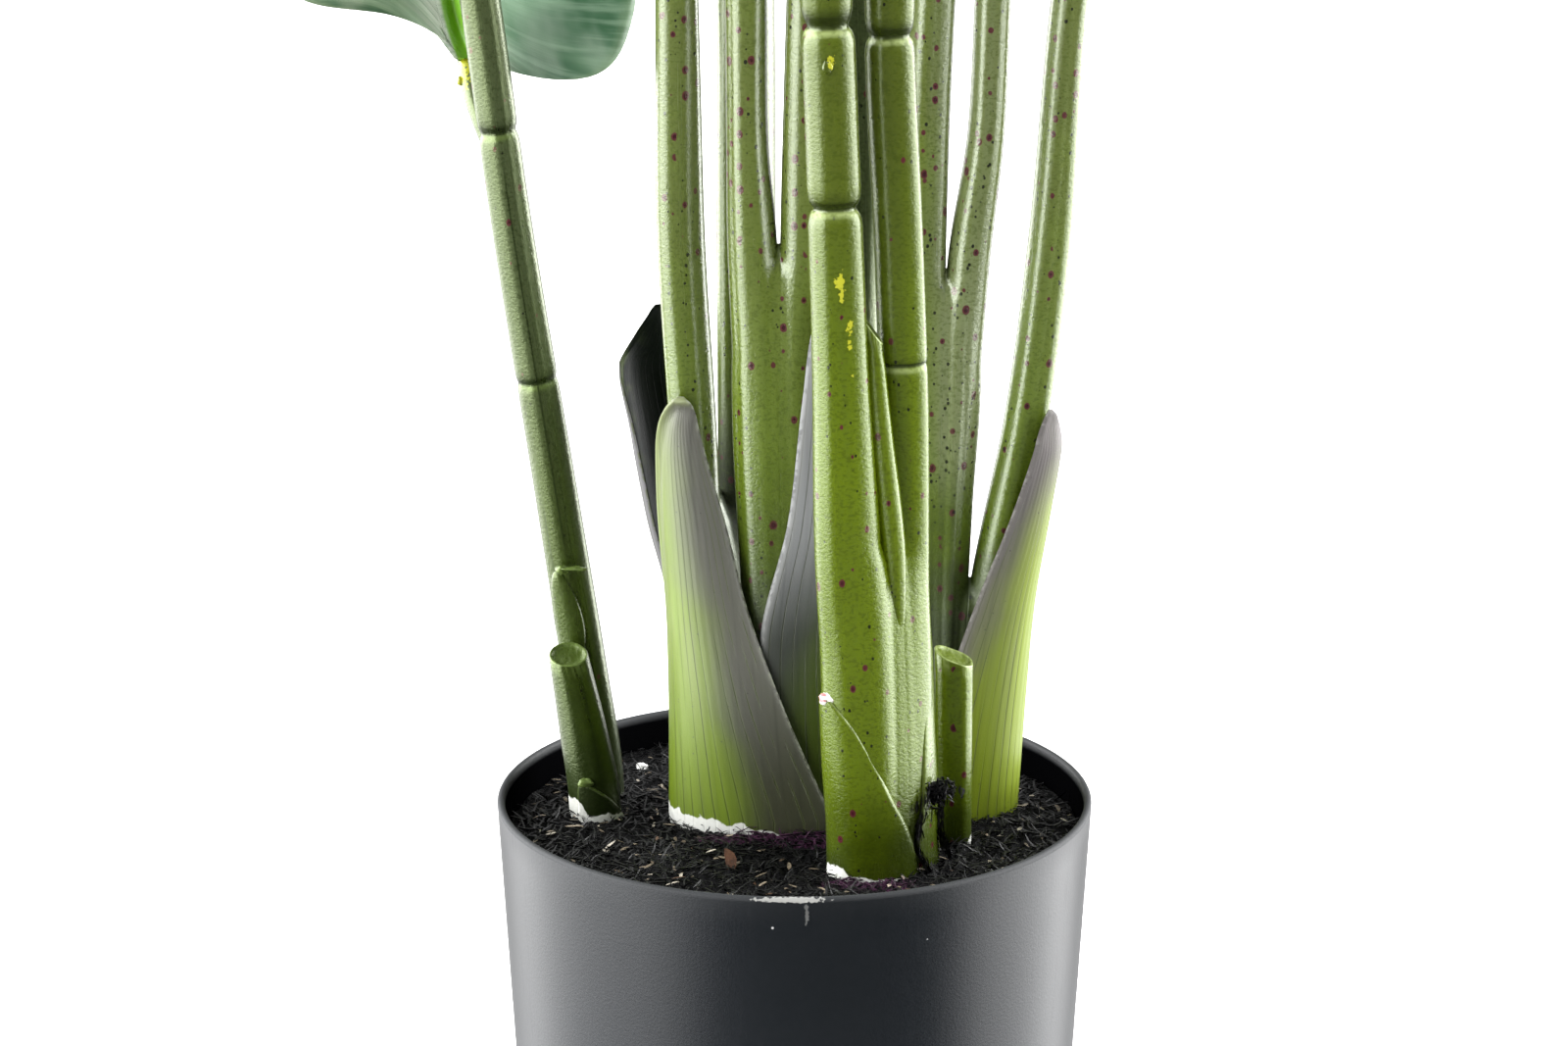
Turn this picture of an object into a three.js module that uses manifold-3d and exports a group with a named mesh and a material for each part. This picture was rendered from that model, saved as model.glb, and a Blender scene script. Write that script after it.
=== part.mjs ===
import * as THREE from 'three';
import { mergeVertices } from 'three/addons/utils/BufferGeometryUtils.js';
import Module from 'manifold-3d';

// Potted banana plant in millimetres, +Z up, origin in the middle of the pot's flat bottom.
// Twelve petioles rise from moulded feet that stand in holes in the soil, each with one leaf.

// Pot and soil
const potHeight = 170;
const potRimRadius = 95;
const potFootRadius = 86;
const potWall = 2.4;
const potFloor = 3;
const potEdge = 0.9;
const potSides = 60;
const soilTop = 158;
const soilRelief = 1.1;
const soilRimFlatness = 4;
const soilRings = 6;
const fitGap = 0.35;
const sheathGap = 0.5;
const sheathHoleOverrun = 0.02;

// Swells of the soil's surface: share of the relief, then how fast and from where it rises and
// falls across and in depth, in radians per millimetre and radians
const soilSwells = [
  [1, 0.09, 1.3, 0.075, 0.97],
  [0.4, 0.13, 0, 0.11, 0.4],
];

// Roots of stems and sheaths below the soil's surface
const stemRootDepth = 68;
const sheathRootDepth = 30;
const straightAbove = 4;

// Sections of the stems
const stemSides = 12;
const stemStep = 42;
const grooveHalf = 1.3;
const grooveDepth = 0.9;
const grooveClearance = 5.2;
const shoulder = 0.35;

// Sheaths
const sheathThickness = 1.3;
const sheathColumns = 10;
const sheathRows = 9;

// Leaves
const leafRows = 15;
const leafRowCrowding = 1.45;
const bladeThickness = 1.2;
const bladeMargin = 1.2;
const bladeMarginTaper = 0.6;
const ribTaper = 0.75;
const ribTipDepth = 1.8;
const leafBaseRoundness = 0.22;
const leafTipTaper = 0.62;
const leafTipEnd = 0.998;
const leafFold = 0.34;
const leafDroop = 0.42;
const skewFade = 4;
const lobeReach = 4;
const lobeFade = 8;
const waveHeight = 5.5;

// Points closer than this are one point
const mergeDistance = 1e-4;

const colours = {
  pot: ['#3c4246', 0.45],
  soil: ['#191817', 0.95],
  paleStem: ['#76863f', 0.42],
  darkStem: ['#46562c', 0.42],
  freshStem: ['#7f9a26', 0.32],
  sheath: ['#86926a', 0.5],
  darkSheath: ['#20261f', 0.5],
  leaf: ['#39603a', 0.5],
};

// Stems. A trunk is an elliptical body that grows out of the root; a petiole leaves it and
// carries a leaf; a stub is a petiole cut short. Each row is height, x, y, half width, half depth,
// and turn is the angle in degrees of the flat side about the vertical.
const stems = {
  stem_left: {
    colour: 'darkStem',
    turn: 0,
    root: [-63.5, 31, 7.6, 7.4],
    petioles: [
      {
        fromRoot: true,
        leaf: 'leaf_02',
        grooves: [300, 380],
        rows: [
          [200, -68, 30, 7.4, 7.2],
          [260, -76, 26, 6.9, 6.8],
          [350, -88.5, 21, 6.4, 6.4],
          [430, -98, 18, 6.2, 6.2],
          [540, -114, 13, 5.6, 5.6],
          [630, -142, 6, 4.8, 4.8],
        ],
      },
      {
        leaf: 'leaf_01',
        grooves: [],
        rows: [
          [366, -89.5, 21, 3.6, 3.6],
          [384, -98.5, 29, 3.3, 3.3],
          [392, -101, 34, 3.5, 3.5],
          [399, -102, 37, 3.7, 3.7],
        ],
      },
    ],
    stubs: [],
  },
  stub_left: {
    colour: 'darkStem',
    turn: 0,
    root: [-64.5, 12, 8.4, 8],
    petioles: [],
    stubs: [
      {
        fromRoot: true,
        cutSlope: [0, 0.36],
        rows: [
          [185, -67.7, 12, 7.8, 7.4],
          [212, -72.4, 12, 6.3, 6.2],
        ],
      },
    ],
  },
  stem_mid_left: {
    colour: 'paleStem',
    turn: 38,
    root: [-24, 23, 16, 7.5],
    trunk: [
      [230, -24, 23, 17, 7.5],
      [254, -23.5, 22.5, 13, 5],
      [266, -23.5, 22.5, 7, 1.6],
    ],
    petioles: [
      {
        leaf: 'leaf_03',
        grooves: [],
        rows: [
          [200, -31, 17.5, 6, 5],
          [262, -31, 13, 7.8, 6.5],
          [350, -35.4, 12, 8, 6.4],
          [430, -36.2, 12, 6.9, 6.2],
          [600, -41, 21, 6, 5.6],
          [800, -60, 50, 4.8, 4.6],
        ],
      },
      {
        leaf: 'leaf_04',
        grooves: [],
        rows: [
          [200, -17, 28.5, 7, 5],
          [262, -15.6, 33, 10.2, 6.2],
          [350, -15.4, 35, 10.6, 6.4],
          [430, -15.3, 36, 10, 6.2],
          [560, -18, 50, 7, 5.6],
          [690, -28, 84, 4.8, 4.6],
        ],
      },
    ],
    stubs: [],
  },
  stem_centre: {
    colour: 'paleStem',
    turn: 0,
    root: [-2, 8.5, 13.5, 7],
    trunk: [
      [230, -3, 8.5, 13.8, 7],
      [290, -4.9, 8, 14.7, 7.2],
      [326, -4.9, 8, 14.4, 5.5],
      [350, -5, 8, 7, 1.6],
    ],
    petioles: [
      {
        leaf: 'leaf_05',
        grooves: [],
        rows: [
          [280, -10, 8, 7, 5.5],
          [345, -13.1, 8, 7.8, 7],
          [380, -14.7, 8, 6.5, 6.6],
          [430, -15.1, 8, 6.4, 6.3],
          [640, -20, 0, 5.8, 5.6],
          [860, -46, -28, 4.8, 4.6],
        ],
      },
      {
        leaf: 'leaf_06',
        grooves: [],
        rows: [
          [280, 1, 8, 7, 5.5],
          [345, 3, 8, 7.6, 7],
          [400, 3.6, 8, 6.9, 6.6],
          [430, 4, 8, 6.5, 6.3],
          [700, 8, 7, 5.8, 5.6],
          [950, 20, 10, 4.8, 4.6],
        ],
      },
    ],
    stubs: [],
  },
  stem_back: {
    colour: 'darkStem',
    turn: 0,
    root: [18, 19, 7.5, 7],
    petioles: [
      {
        fromRoot: true,
        leaf: 'leaf_07',
        grooves: [],
        rows: [
          [230, 18.5, 21, 7.3, 7],
          [320, 19, 25, 7, 6.8],
          [430, 18.7, 28, 6.9, 6.6],
          [600, 23, 40, 6, 5.8],
          [850, 44, 84, 4.8, 4.6],
        ],
      },
    ],
    stubs: [],
  },
  stem_front: {
    colour: 'freshStem',
    turn: 33,
    root: [28, -35, 18.5, 12],
    trunk: [
      [200, 26, -35.5, 19, 11.5],
      [240, 24.5, -36.5, 19.2, 9.5],
      [262, 24, -37.5, 15, 6],
      [274, 24, -38, 9, 1.6],
    ],
    petioles: [
      {
        leaf: 'leaf_08',
        grooves: [368, 422],
        rows: [
          [190, 19, -39.5, 9, 7.5],
          [260, 16.3, -42, 11, 8.6],
          [320, 13.4, -42.5, 8.6, 8],
          [350, 12.1, -43, 8.1, 7.8],
          [430, 8.8, -44, 7.9, 7.6],
          [540, 2, -56, 6.6, 6.4],
          [640, -14, -88, 4.8, 4.8],
        ],
      },
      {
        leaf: 'leaf_09',
        grooves: [319, 418],
        rows: [
          [190, 34, -32, 7, 6],
          [290, 33.4, -33.5, 7.4, 7],
          [350, 31.1, -34, 7.5, 7.2],
          [430, 27.6, -35, 7.6, 7.2],
          [600, 32, -50, 6.4, 6],
          [780, 52, -92, 4.8, 4.6],
        ],
      },
    ],
    stubs: [
      {
        cutSlope: [-1.1, 0],
        rows: [
          [220, 28, -37, 4.5, 5],
          [290, 25.5, -37.5, 5, 5.2],
          [331, 22.6, -37.5, 4.4, 4.8],
        ],
      },
    ],
  },
  stub_right: {
    colour: 'freshStem',
    turn: 0,
    root: [50.5, -11, 5.7, 5.6],
    petioles: [],
    stubs: [
      {
        fromRoot: true,
        cutSlope: [-0.4, 0.1],
        rows: [[219, 49.9, -12, 6.1, 5.6]],
      },
    ],
  },
  stem_right: {
    colour: 'paleStem',
    turn: 0,
    root: [52, 20, 14, 8],
    trunk: [
      [200, 52, 18.5, 16, 8],
      [226, 53.5, 16.5, 17, 6],
      [240, 56.5, 15.5, 6, 1.6],
    ],
    fork: [
      [205, 46, 17, 9, 7],
      [260, 46, 15, 10.6, 7.4],
      [300, 46.6, 14.5, 12.8, 7],
      [325, 47.4, 14.5, 11.5, 5],
      [340, 48, 14, 6, 1.6],
    ],
    petioles: [
      {
        leaf: 'leaf_10',
        grooves: [],
        rows: [
          [270, 42, 15, 6, 5.5],
          [340, 39.9, 14, 7.3, 6.6],
          [430, 42.6, 12, 7, 6.4],
          [560, 52, 18, 6, 5.6],
          [700, 86, 38, 4.8, 4.6],
        ],
      },
      {
        leaf: 'leaf_11',
        grooves: [],
        rows: [
          [270, 50, 15, 6, 5.5],
          [340, 54.3, 14, 6.7, 6.4],
          [380, 59, 13, 5.8, 6.2],
          [430, 60.9, 12, 5.6, 6],
          [640, 74, 4, 5.4, 5.4],
          [850, 112, -14, 4.8, 4.6],
        ],
      },
      {
        leaf: 'leaf_12',
        grooves: [],
        rows: [
          [190, 56, 18.5, 7, 6],
          [232, 63.7, 16, 8, 6.8],
          [290, 73.1, 15, 6.9, 6.6],
          [350, 79.7, 15, 6.7, 6.4],
          [430, 85, 14, 5.7, 6],
          [530, 100, 15, 5.4, 5.4],
          [630, 134, 20, 4.8, 4.8],
        ],
      },
    ],
    stubs: [],
  },
};

// Sheaths. Each row is height, centre x, centre y, outer half width, outer half depth and the
// two angles in degrees that the wall runs between, with 270 facing the front.
const sheaths = {
  sheath_left: {
    colour: 'sheath',
    rows: [
      [162, -6, 10, 34.5, 18, 165, 303],
      [200, -16, 11, 24.4, 17.9, 165, 301],
      [230, -24, 12, 17.2, 15, 166, 304],
      [260, -30, 12, 12.8, 12, 172, 309],
      [285, -33, 12, 10.2, 10.6, 186, 295],
      [299, -33, 12, 9.8, 10.4, 250, 258],
    ],
  },
  sheath_right: {
    colour: 'sheath',
    rows: [
      [162, 52, 20, 21, 16.5, 232, 380],
      [200, 58, 18, 17, 14, 232, 378],
      [230, 63, 16, 14.2, 12, 245, 376],
      [260, 69.5, 15, 12.2, 11, 264, 370],
      [282, 73, 14.3, 11, 10.2, 274, 350],
      [294, 73.5, 14, 10.8, 10, 305, 313],
    ],
  },
  sheath_centre: {
    colour: 'darkSheath',
    rows: [
      [162, 0, 31.2, 40, 33, 256, 323],
      [221, 0, 31.2, 40, 33, 254, 319],
      [260, 3, 31.2, 37, 33, 262, 315],
      [300, 6, 31.2, 34, 33, 264, 306],
      [325, 8, 31.2, 32, 33, 267, 296],
      [338, 9, 31.2, 31, 33, 280, 284],
    ],
  },
  sheath_back: {
    colour: 'darkSheath',
    rows: [
      [162, -25, 25, 13.5, 14, 80, 190],
      [226, -26, 26, 15, 14.5, 84, 192],
      [260, -30, 27, 19.3, 15, 92, 193],
      [290, -33, 28, 23.6, 15, 104, 193],
      [308, -34, 29, 22, 14.6, 106, 176],
      [321, -34, 30, 18, 14, 118, 128],
    ],
  },
};

// Leaves. Length, greatest half width, heading in degrees that the leaf arches towards, angle of
// its tip above the horizontal, roll about its midrib, how far its base is skewed to one side, edge
// waves and where along the edge they start.
const leaves = {
  leaf_01: [285, 56, 92, 24, 4, 0.4, 3, 0.4],
  leaf_02: [360, 74, 190, -28, -6, 0.1, 4, 1.1],
  leaf_03: [420, 80, 136, -18, 5, -0.12, 4, 2.3],
  leaf_04: [400, 78, 104, -24, -4, 0.15, 5, 0.2],
  leaf_05: [430, 82, 226, -6, -6, -0.1, 4, 3.1],
  leaf_06: [430, 80, 14, 34, -5, 0.12, 4, 1.9],
  leaf_07: [430, 82, 62, -10, 4, -0.15, 5, 4.4],
  leaf_08: [370, 74, 250, -22, -5, 0.1, 4, 0.9],
  leaf_09: [400, 78, 292, -16, 6, 0.14, 4, 2.8],
  leaf_10: [390, 76, 28, -26, -6, -0.1, 4, 5.2],
  leaf_11: [420, 80, 338, -12, 5, 0.12, 5, 3.6],
  leaf_12: [360, 74, 2, -30, -4, -0.12, 4, 1.5],
};

const wasm = await Module();
wasm.setup();

const up = new THREE.Vector3(0, 0, 1);
const radians = THREE.MathUtils.degToRad;
const clamp = THREE.MathUtils.clamp;
const range = (count) => Array.from({ length: count }, (_, i) => i);

// Smooth curve through rows that start with a height: every other column at the height z
function rowAt(rows, z) {
  const last = rows.length - 2;
  let i = 0;
  while (i < last && z > rows[i + 1][0]) i += 1;
  const slope = (k, column) => {
    const before = rows[Math.max(k - 1, 0)];
    const after = rows[Math.min(k + 1, rows.length - 1)];
    return (after[column] - before[column]) / (after[0] - before[0]);
  };
  const step = rows[i + 1][0] - rows[i][0];
  const t = (z - rows[i][0]) / step;
  const start = (1 + 2 * t) * (1 - t) ** 2;
  const end = t * t * (3 - 2 * t);
  const startSlope = t * (1 - t) ** 2 * step;
  const endSlope = -t * t * (1 - t) * step;
  return range(rows[0].length - 1).map((k) => {
    const column = k + 1;
    const ends = start * rows[i][column] + end * rows[i + 1][column];
    return ends + startSlope * slope(i, column) + endSlope * slope(i + 1, column);
  });
}

// Geometry from points and triangles, turned inside out if its faces point inwards
function facingOut(points, triangles) {
  const origin = points[0];
  const volume = triangles.reduce((sum, [a, b, c]) => {
    const edge = points[b].clone().sub(origin).cross(points[c].clone().sub(origin));
    return sum + edge.dot(points[a].clone().sub(origin));
  }, 0);
  const ordered = volume < 0 ? triangles.map(([a, b, c]) => [a, c, b]) : triangles;
  const geometry = new THREE.BufferGeometry().setFromPoints(points);
  geometry.setIndex(ordered.flat());
  return geometry;
}

// Closed body through a stack of rings with flat end caps
function stack(rings) {
  const sides = rings[0].length;
  const triangles = [];
  for (let i = 0; i < rings.length - 1; i += 1) {
    for (let j = 0; j < sides; j += 1) {
      const a = i * sides + j;
      const b = i * sides + ((j + 1) % sides);
      triangles.push([a, b, b + sides], [a, b + sides, a + sides]);
    }
  }
  const top = (rings.length - 1) * sides;
  for (let j = 1; j < sides - 1; j += 1) {
    triangles.push([0, j + 1, j], [top, top + j, top + j + 1]);
  }
  return facingOut(rings.flat(), triangles);
}

// Closed sheet between two grids of points alike in rows and columns
function sheet(front, back) {
  const rows = front.length;
  const columns = front[0].length;
  const count = rows * columns;
  const triangles = [];
  for (let i = 0; i < rows - 1; i += 1) {
    for (let j = 0; j < columns - 1; j += 1) {
      const a = i * columns + j;
      const corners = [[a, a + 1, a + columns + 1], [a, a + columns + 1, a + columns]];
      for (const [p, q, r] of corners) {
        triangles.push([p, q, r], [p + count, r + count, q + count]);
      }
    }
  }
  const rim = [
    ...range(columns - 1),
    ...range(rows - 1).map((i) => i * columns + columns - 1),
    ...range(columns - 1).map((j) => count - 1 - j),
    ...range(rows - 1).map((i) => (rows - 1 - i) * columns),
  ];
  rim.forEach((p, k) => {
    const q = rim[(k + 1) % rim.length];
    triangles.push([p, p + count, q], [q, p + count, q + count]);
  });
  return facingOut([...front.flat(), ...back.flat()], triangles);
}

// Solid for joining and cutting, from a geometry whose equal points are merged
function toSolid(geometry) {
  const bare = geometry.clone();
  bare.deleteAttribute('normal');
  bare.deleteAttribute('uv');
  const merged = mergeVertices(bare, mergeDistance);
  return new wasm.Manifold(new wasm.Mesh({
    numProp: 3,
    vertProperties: Float32Array.from(merged.attributes.position.array),
    triVerts: Uint32Array.from(merged.index.array),
  }));
}

function toGeometry(solid) {
  const { vertProperties, triVerts } = solid.getMesh();
  const geometry = new THREE.BufferGeometry();
  geometry.setAttribute('position', new THREE.BufferAttribute(vertProperties, 3));
  geometry.setIndex(Array.from(triVerts));
  return geometry;
}

function joined(geometries) {
  return toGeometry(geometries.map(toSolid).reduce((sum, solid) => sum.add(solid)));
}

// Ellipse of points round a centre, square to a direction, with its width turned about Z
function ring(centre, direction, turn, halfWidth, halfDepth) {
  const wide = new THREE.Vector3(Math.cos(turn), Math.sin(turn), 0);
  wide.addScaledVector(direction, -wide.dot(direction)).normalize();
  const deep = direction.clone().cross(wide);
  return range(stemSides).map((k) => {
    const angle = (2 * Math.PI * k) / stemSides;
    return centre.clone()
      .addScaledVector(wide, halfWidth * Math.cos(angle))
      .addScaledVector(deep, halfDepth * Math.sin(angle));
  });
}

function pointAt(rows, z) {
  const [x, y] = rowAt(rows, z);
  return new THREE.Vector3(x, y, z);
}

function directionAt(rows, z) {
  const low = Math.max(z - 1, rows[0][0]);
  const high = Math.min(z + 1, rows[rows.length - 1][0]);
  return pointAt(rows, high).sub(pointAt(rows, low)).normalize();
}

// Rows of a stem with its straight root added below them
function withRoot([x, y, halfWidth, halfDepth], rows) {
  return [[soilTop + straightAbove, x, y, halfWidth, halfDepth], ...rows];
}

// Heights of the rings up a stem: even steps, and three round each groove
function stations(rows, grooves) {
  const bottom = rows[0][0];
  const height = rows[rows.length - 1][0] - bottom;
  const steps = Math.max(2, Math.round(height / stemStep));
  const even = range(steps + 1).map((i) => [bottom + (height * i) / steps, 0]);
  const clear = even.filter(([z]) => grooves.every((g) => Math.abs(z - g) > grooveClearance));
  const cut = grooves.flatMap((g) => [
    [g - grooveHalf, -shoulder],
    [g, grooveDepth],
    [g + grooveHalf, 0],
  ]);
  return [...clear, ...cut].sort((a, b) => a[0] - b[0]);
}

// Level ring at the bottom of a root
function rootRing([x, y, halfWidth, halfDepth], turn, grow, z) {
  return ring(new THREE.Vector3(x, y, z), up, turn, halfWidth + grow, halfDepth + grow);
}

// Closed body of rings, with its straight root below them where it stands in the soil
function rooted(rings, turn, root) {
  return stack(root ? [rootRing(root, turn, 0, soilTop - stemRootDepth), ...rings] : rings);
}

// Round stem whose rings are square to its line
function petioleBody(rows, turn, grooves, root) {
  const rings = stations(rows, grooves).map(([z, inset], i) => {
    const [x, y, halfWidth, halfDepth] = rowAt(rows, z);
    const direction = root && i === 0 ? up : directionAt(rows, z);
    return ring(new THREE.Vector3(x, y, z), direction, turn, halfWidth - inset, halfDepth - inset);
  });
  return rooted(rings, turn, root);
}

// Trunk or stub with level rings, the last of which slopes like the cut
function levelBody(rows, turn, root, [slopeX, slopeY] = [0, 0]) {
  const rings = rows.map(([z, x, y, halfWidth, halfDepth]) => (
    ring(new THREE.Vector3(x, y, z), up, turn, halfWidth, halfDepth)
  ));
  const [, x, y] = rows[rows.length - 1];
  for (const point of rings[rings.length - 1]) {
    point.z += slopeX * (point.x - x) + slopeY * (point.y - y);
  }
  return rooted(rings, turn, root);
}

// All that grows from one foot, joined into one solid
function stem({ turn, root, trunk, fork, petioles, stubs }) {
  const angle = radians(turn);
  const bodies = [];
  if (trunk) bodies.push(levelBody(withRoot(root, trunk), angle, root));
  if (fork) bodies.push(levelBody(fork, angle));
  for (const { rows, grooves, fromRoot } of petioles) {
    if (fromRoot) bodies.push(petioleBody(withRoot(root, rows), angle, grooves, root));
    else bodies.push(petioleBody(rows, angle, grooves));
  }
  for (const { rows, cutSlope, fromRoot } of stubs) {
    if (fromRoot) bodies.push(levelBody(withRoot(root, rows), angle, root, cutSlope));
    else bodies.push(levelBody(rows, angle, null, cutSlope));
  }
  return joined(bodies);
}

// Wall of a sheath at one height: points on an ellipse between two angles
function sheathArc([x, y, halfWidth, halfDepth, from, to], z, inset, overrun = 0) {
  return range(sheathColumns + 1).map((j) => {
    const share = (j / sheathColumns) * (1 + 2 * overrun) - overrun;
    const angle = radians(from + (to - from) * share);
    const across = (halfWidth - inset) * Math.cos(angle);
    const deep = (halfDepth - inset) * Math.sin(angle);
    return new THREE.Vector3(x + across, y + deep, z);
  });
}

// Heights up a sheath, closer together towards its rounded tip
function sheath({ rows }) {
  const bottom = rows[0][0];
  const height = rows[rows.length - 1][0] - bottom;
  const share = (i) => Math.sin((Math.PI / 2) * (i / sheathRows));
  const heights = range(sheathRows + 1).map((i) => bottom + height * share(i));
  const grid = (inset) => [
    sheathArc(rows[0].slice(1), soilTop - sheathRootDepth, inset),
    ...heights.map((z) => sheathArc(rowAt(rows, z), z, inset)),
  ];
  return sheet(grid(0), grid(sheathThickness));
}

// Hole for a sheath's root in the soil
function sheathHole({ rows }) {
  const foot = rows[0].slice(1);
  const grid = (inset) => [soilTop - sheathRootDepth - fitGap, potHeight].map((z) => (
    sheathArc(foot, z, inset, sheathHoleOverrun)
  ));
  return sheet(grid(-sheathGap), grid(sheathThickness + sheathGap));
}

function stemHole({ root, turn }) {
  const angle = radians(turn);
  return stack([
    rootRing(root, angle, fitGap, soilTop - stemRootDepth - fitGap),
    rootRing(root, angle, fitGap, potHeight),
  ]);
}

function potRadius(z) {
  return potFootRadius + ((potRimRadius - potFootRadius) * z) / potHeight;
}

function pot() {
  const outline = [
    [0, 0],
    [potFootRadius - potEdge, 0],
    [potRadius(potEdge), potEdge],
    [potRadius(potHeight - potEdge), potHeight - potEdge],
    [potRimRadius - potEdge / 2, potHeight],
    [potRimRadius - potWall + potEdge / 2, potHeight],
    [potRadius(potHeight - potEdge) - potWall, potHeight - potEdge],
    [potRadius(potFloor) - potWall, potFloor],
    [0, potFloor],
  ];
  const points = outline.map(([r, z]) => new THREE.Vector2(r, z));
  return new THREE.LatheGeometry(points, potSides).rotateX(Math.PI / 2);
}

// Low swells of the soil's surface, flat at the pot wall
function soilHeight(x, y) {
  const swell = soilSwells.reduce((sum, [share, across, start, deep, from]) => (
    sum + share * Math.sin(across * x + start) * Math.sin(deep * y + from)
  ), 0);
  const rim = clamp(Math.hypot(x, y) / potRimRadius, 0, 1) ** soilRimFlatness;
  return soilTop + soilRelief * swell * (1 - rim);
}

// Soil that fills the pot, with a plain hole for each root
function soil() {
  const foot = potFloor + fitGap;
  const outerRadius = (z) => potRadius(z) - potWall - fitGap;
  const circle = (radius, height) => range(potSides).map((k) => {
    const angle = Math.PI / 2 - (2 * Math.PI * k) / potSides;
    const x = radius * Math.cos(angle);
    const y = radius * Math.sin(angle);
    return new THREE.Vector3(x, y, height(x, y));
  });
  const surface = range(soilRings).map((i) => {
    const radius = outerRadius(soilTop) * (1 - i / soilRings);
    return circle(radius, soilHeight);
  });
  const body = toSolid(stack([circle(outerRadius(foot), () => foot), ...surface]));
  const holes = [...Object.values(stems).map(stemHole), ...Object.values(sheaths).map(sheathHole)];
  return toGeometry(holes.map(toSolid).reduce((sum, hole) => sum.subtract(hole), body));
}

// Half width of the blade at the share s of its length, for a greatest half width of 1: blunt and
// rounded at the base, pointed at the tip
function leafOutline(s) {
  const shape = (t) => t ** leafBaseRoundness * (1 - t) ** leafTipTaper;
  const widest = leafBaseRoundness / (leafBaseRoundness + leafTipTaper);
  return shape(Math.min(s, leafTipEnd)) / shape(widest);
}

// Leaf that carries on from the end of its petiole and arches over towards its heading
function leaf([length, halfWidth, heading, tipAngle, roll, skew, waves, phase], rows) {
  const endRow = rows[rows.length - 1];
  const [ribHalf, ribHalfDepth] = endRow.slice(3);
  const start = directionAt(rows, endRow[0]);
  const azimuth = radians(heading);
  const level = Math.cos(radians(tipAngle));
  const rise = Math.sin(radians(tipAngle));
  const finish = new THREE.Vector3(level * Math.cos(azimuth), level * Math.sin(azimuth), rise);
  const sideways = new THREE.Vector3(-Math.sin(azimuth), Math.cos(azimuth), 0);
  const point = pointAt(rows, endRow[0]).addScaledVector(start, fitGap);
  const top = [];
  const bottom = [];
  let before = 0;
  for (let i = 0; i <= leafRows; i += 1) {
    const s = (i / leafRows) ** leafRowCrowding;
    const direction = start.clone().lerp(finish, s).normalize();
    const side = sideways.clone().addScaledVector(direction, -sideways.dot(direction)).normalize();
    side.applyAxisAngle(direction, radians(roll));
    const normal = direction.clone().cross(side);
    if (i === 0) point.addScaledVector(normal, ribHalfDepth);
    point.addScaledVector(direction, length * (s - before));
    before = s;
    const rib = ribHalf * (1 - ribTaper * s);
    const ribDepth = 2 * ribHalfDepth * (1 - s) + ribTipDepth * s;
    const blade = bladeMargin * (1 - bladeMarginTaper * s) + halfWidth * leafOutline(s);
    const place = (across, thickness) => {
      const share = clamp(Math.abs(across) / halfWidth, 0, 1);
      const turn = 2 * Math.PI * waves * s + phase + Math.sign(across);
      const wave = waveHeight * share ** 2 * Math.sin(turn);
      const lift = halfWidth * share * (leafFold - leafDroop * share) + wave;
      const beyondRib = Math.sign(across) * Math.max(Math.abs(across) - ribHalf - bladeMargin, 0);
      const slant = skew * beyondRib * (1 - s) ** skewFade;
      const lobe = lobeReach * share ** 2 * (1 - s) ** lobeFade;
      return point.clone()
        .addScaledVector(side, across)
        .addScaledVector(normal, lift - thickness)
        .addScaledVector(direction, slant - lobe);
    };
    const edges = [-1, -0.5, 0].map((share) => -(rib - share * blade));
    const across = [...edges, 0, ...edges.map((x) => -x).reverse()];
    top.push(across.map((x) => place(x, 0)));
    bottom.push(across.map((x) => place(x, x === 0 ? ribDepth : bladeThickness)));
  }
  return sheet(top, bottom);
}

// Assembly
const plant = new THREE.Group();

function add(name, geometry, colourName) {
  const [color, roughness] = colours[colourName];
  const material = new THREE.MeshStandardMaterial({ color, roughness, metalness: 0 });
  const mesh = new THREE.Mesh(geometry, material);
  mesh.name = name;
  plant.add(mesh);
}

add('pot', pot(), 'pot');
add('soil', soil(), 'soil');
for (const [name, shape] of Object.entries(stems)) {
  add(name, stem(shape), shape.colour);
  for (const petiole of shape.petioles) {
    const rows = petiole.fromRoot ? withRoot(shape.root, petiole.rows) : petiole.rows;
    add(petiole.leaf, leaf(leaves[petiole.leaf], rows), 'leaf');
  }
}
for (const [name, shape] of Object.entries(sheaths)) add(name, sheath(shape), shape.colour);

export default plant;
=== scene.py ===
import math

import bmesh
import bpy
import numpy as np
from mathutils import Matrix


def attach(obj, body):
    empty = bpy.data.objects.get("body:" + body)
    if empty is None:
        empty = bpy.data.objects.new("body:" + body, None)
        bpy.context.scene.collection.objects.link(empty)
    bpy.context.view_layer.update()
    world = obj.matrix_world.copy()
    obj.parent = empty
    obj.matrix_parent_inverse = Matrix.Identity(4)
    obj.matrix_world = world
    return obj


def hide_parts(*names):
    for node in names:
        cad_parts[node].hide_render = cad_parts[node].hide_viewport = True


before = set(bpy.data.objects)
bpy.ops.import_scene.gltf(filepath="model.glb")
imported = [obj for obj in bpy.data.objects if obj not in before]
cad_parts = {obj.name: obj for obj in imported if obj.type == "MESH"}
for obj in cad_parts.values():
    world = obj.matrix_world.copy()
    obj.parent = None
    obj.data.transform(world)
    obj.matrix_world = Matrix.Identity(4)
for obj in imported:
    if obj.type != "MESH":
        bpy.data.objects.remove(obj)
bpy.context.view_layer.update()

# Potted banana plant. Shapes are written in millimetres in the frame's axes and go into the
# meshes in metres. Everything stands still, so every piece rides on the one body.
mm = 0.001
body = "root"
dice = np.random.default_rng(21)
up = np.array([0, 0, 1.0])


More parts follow.
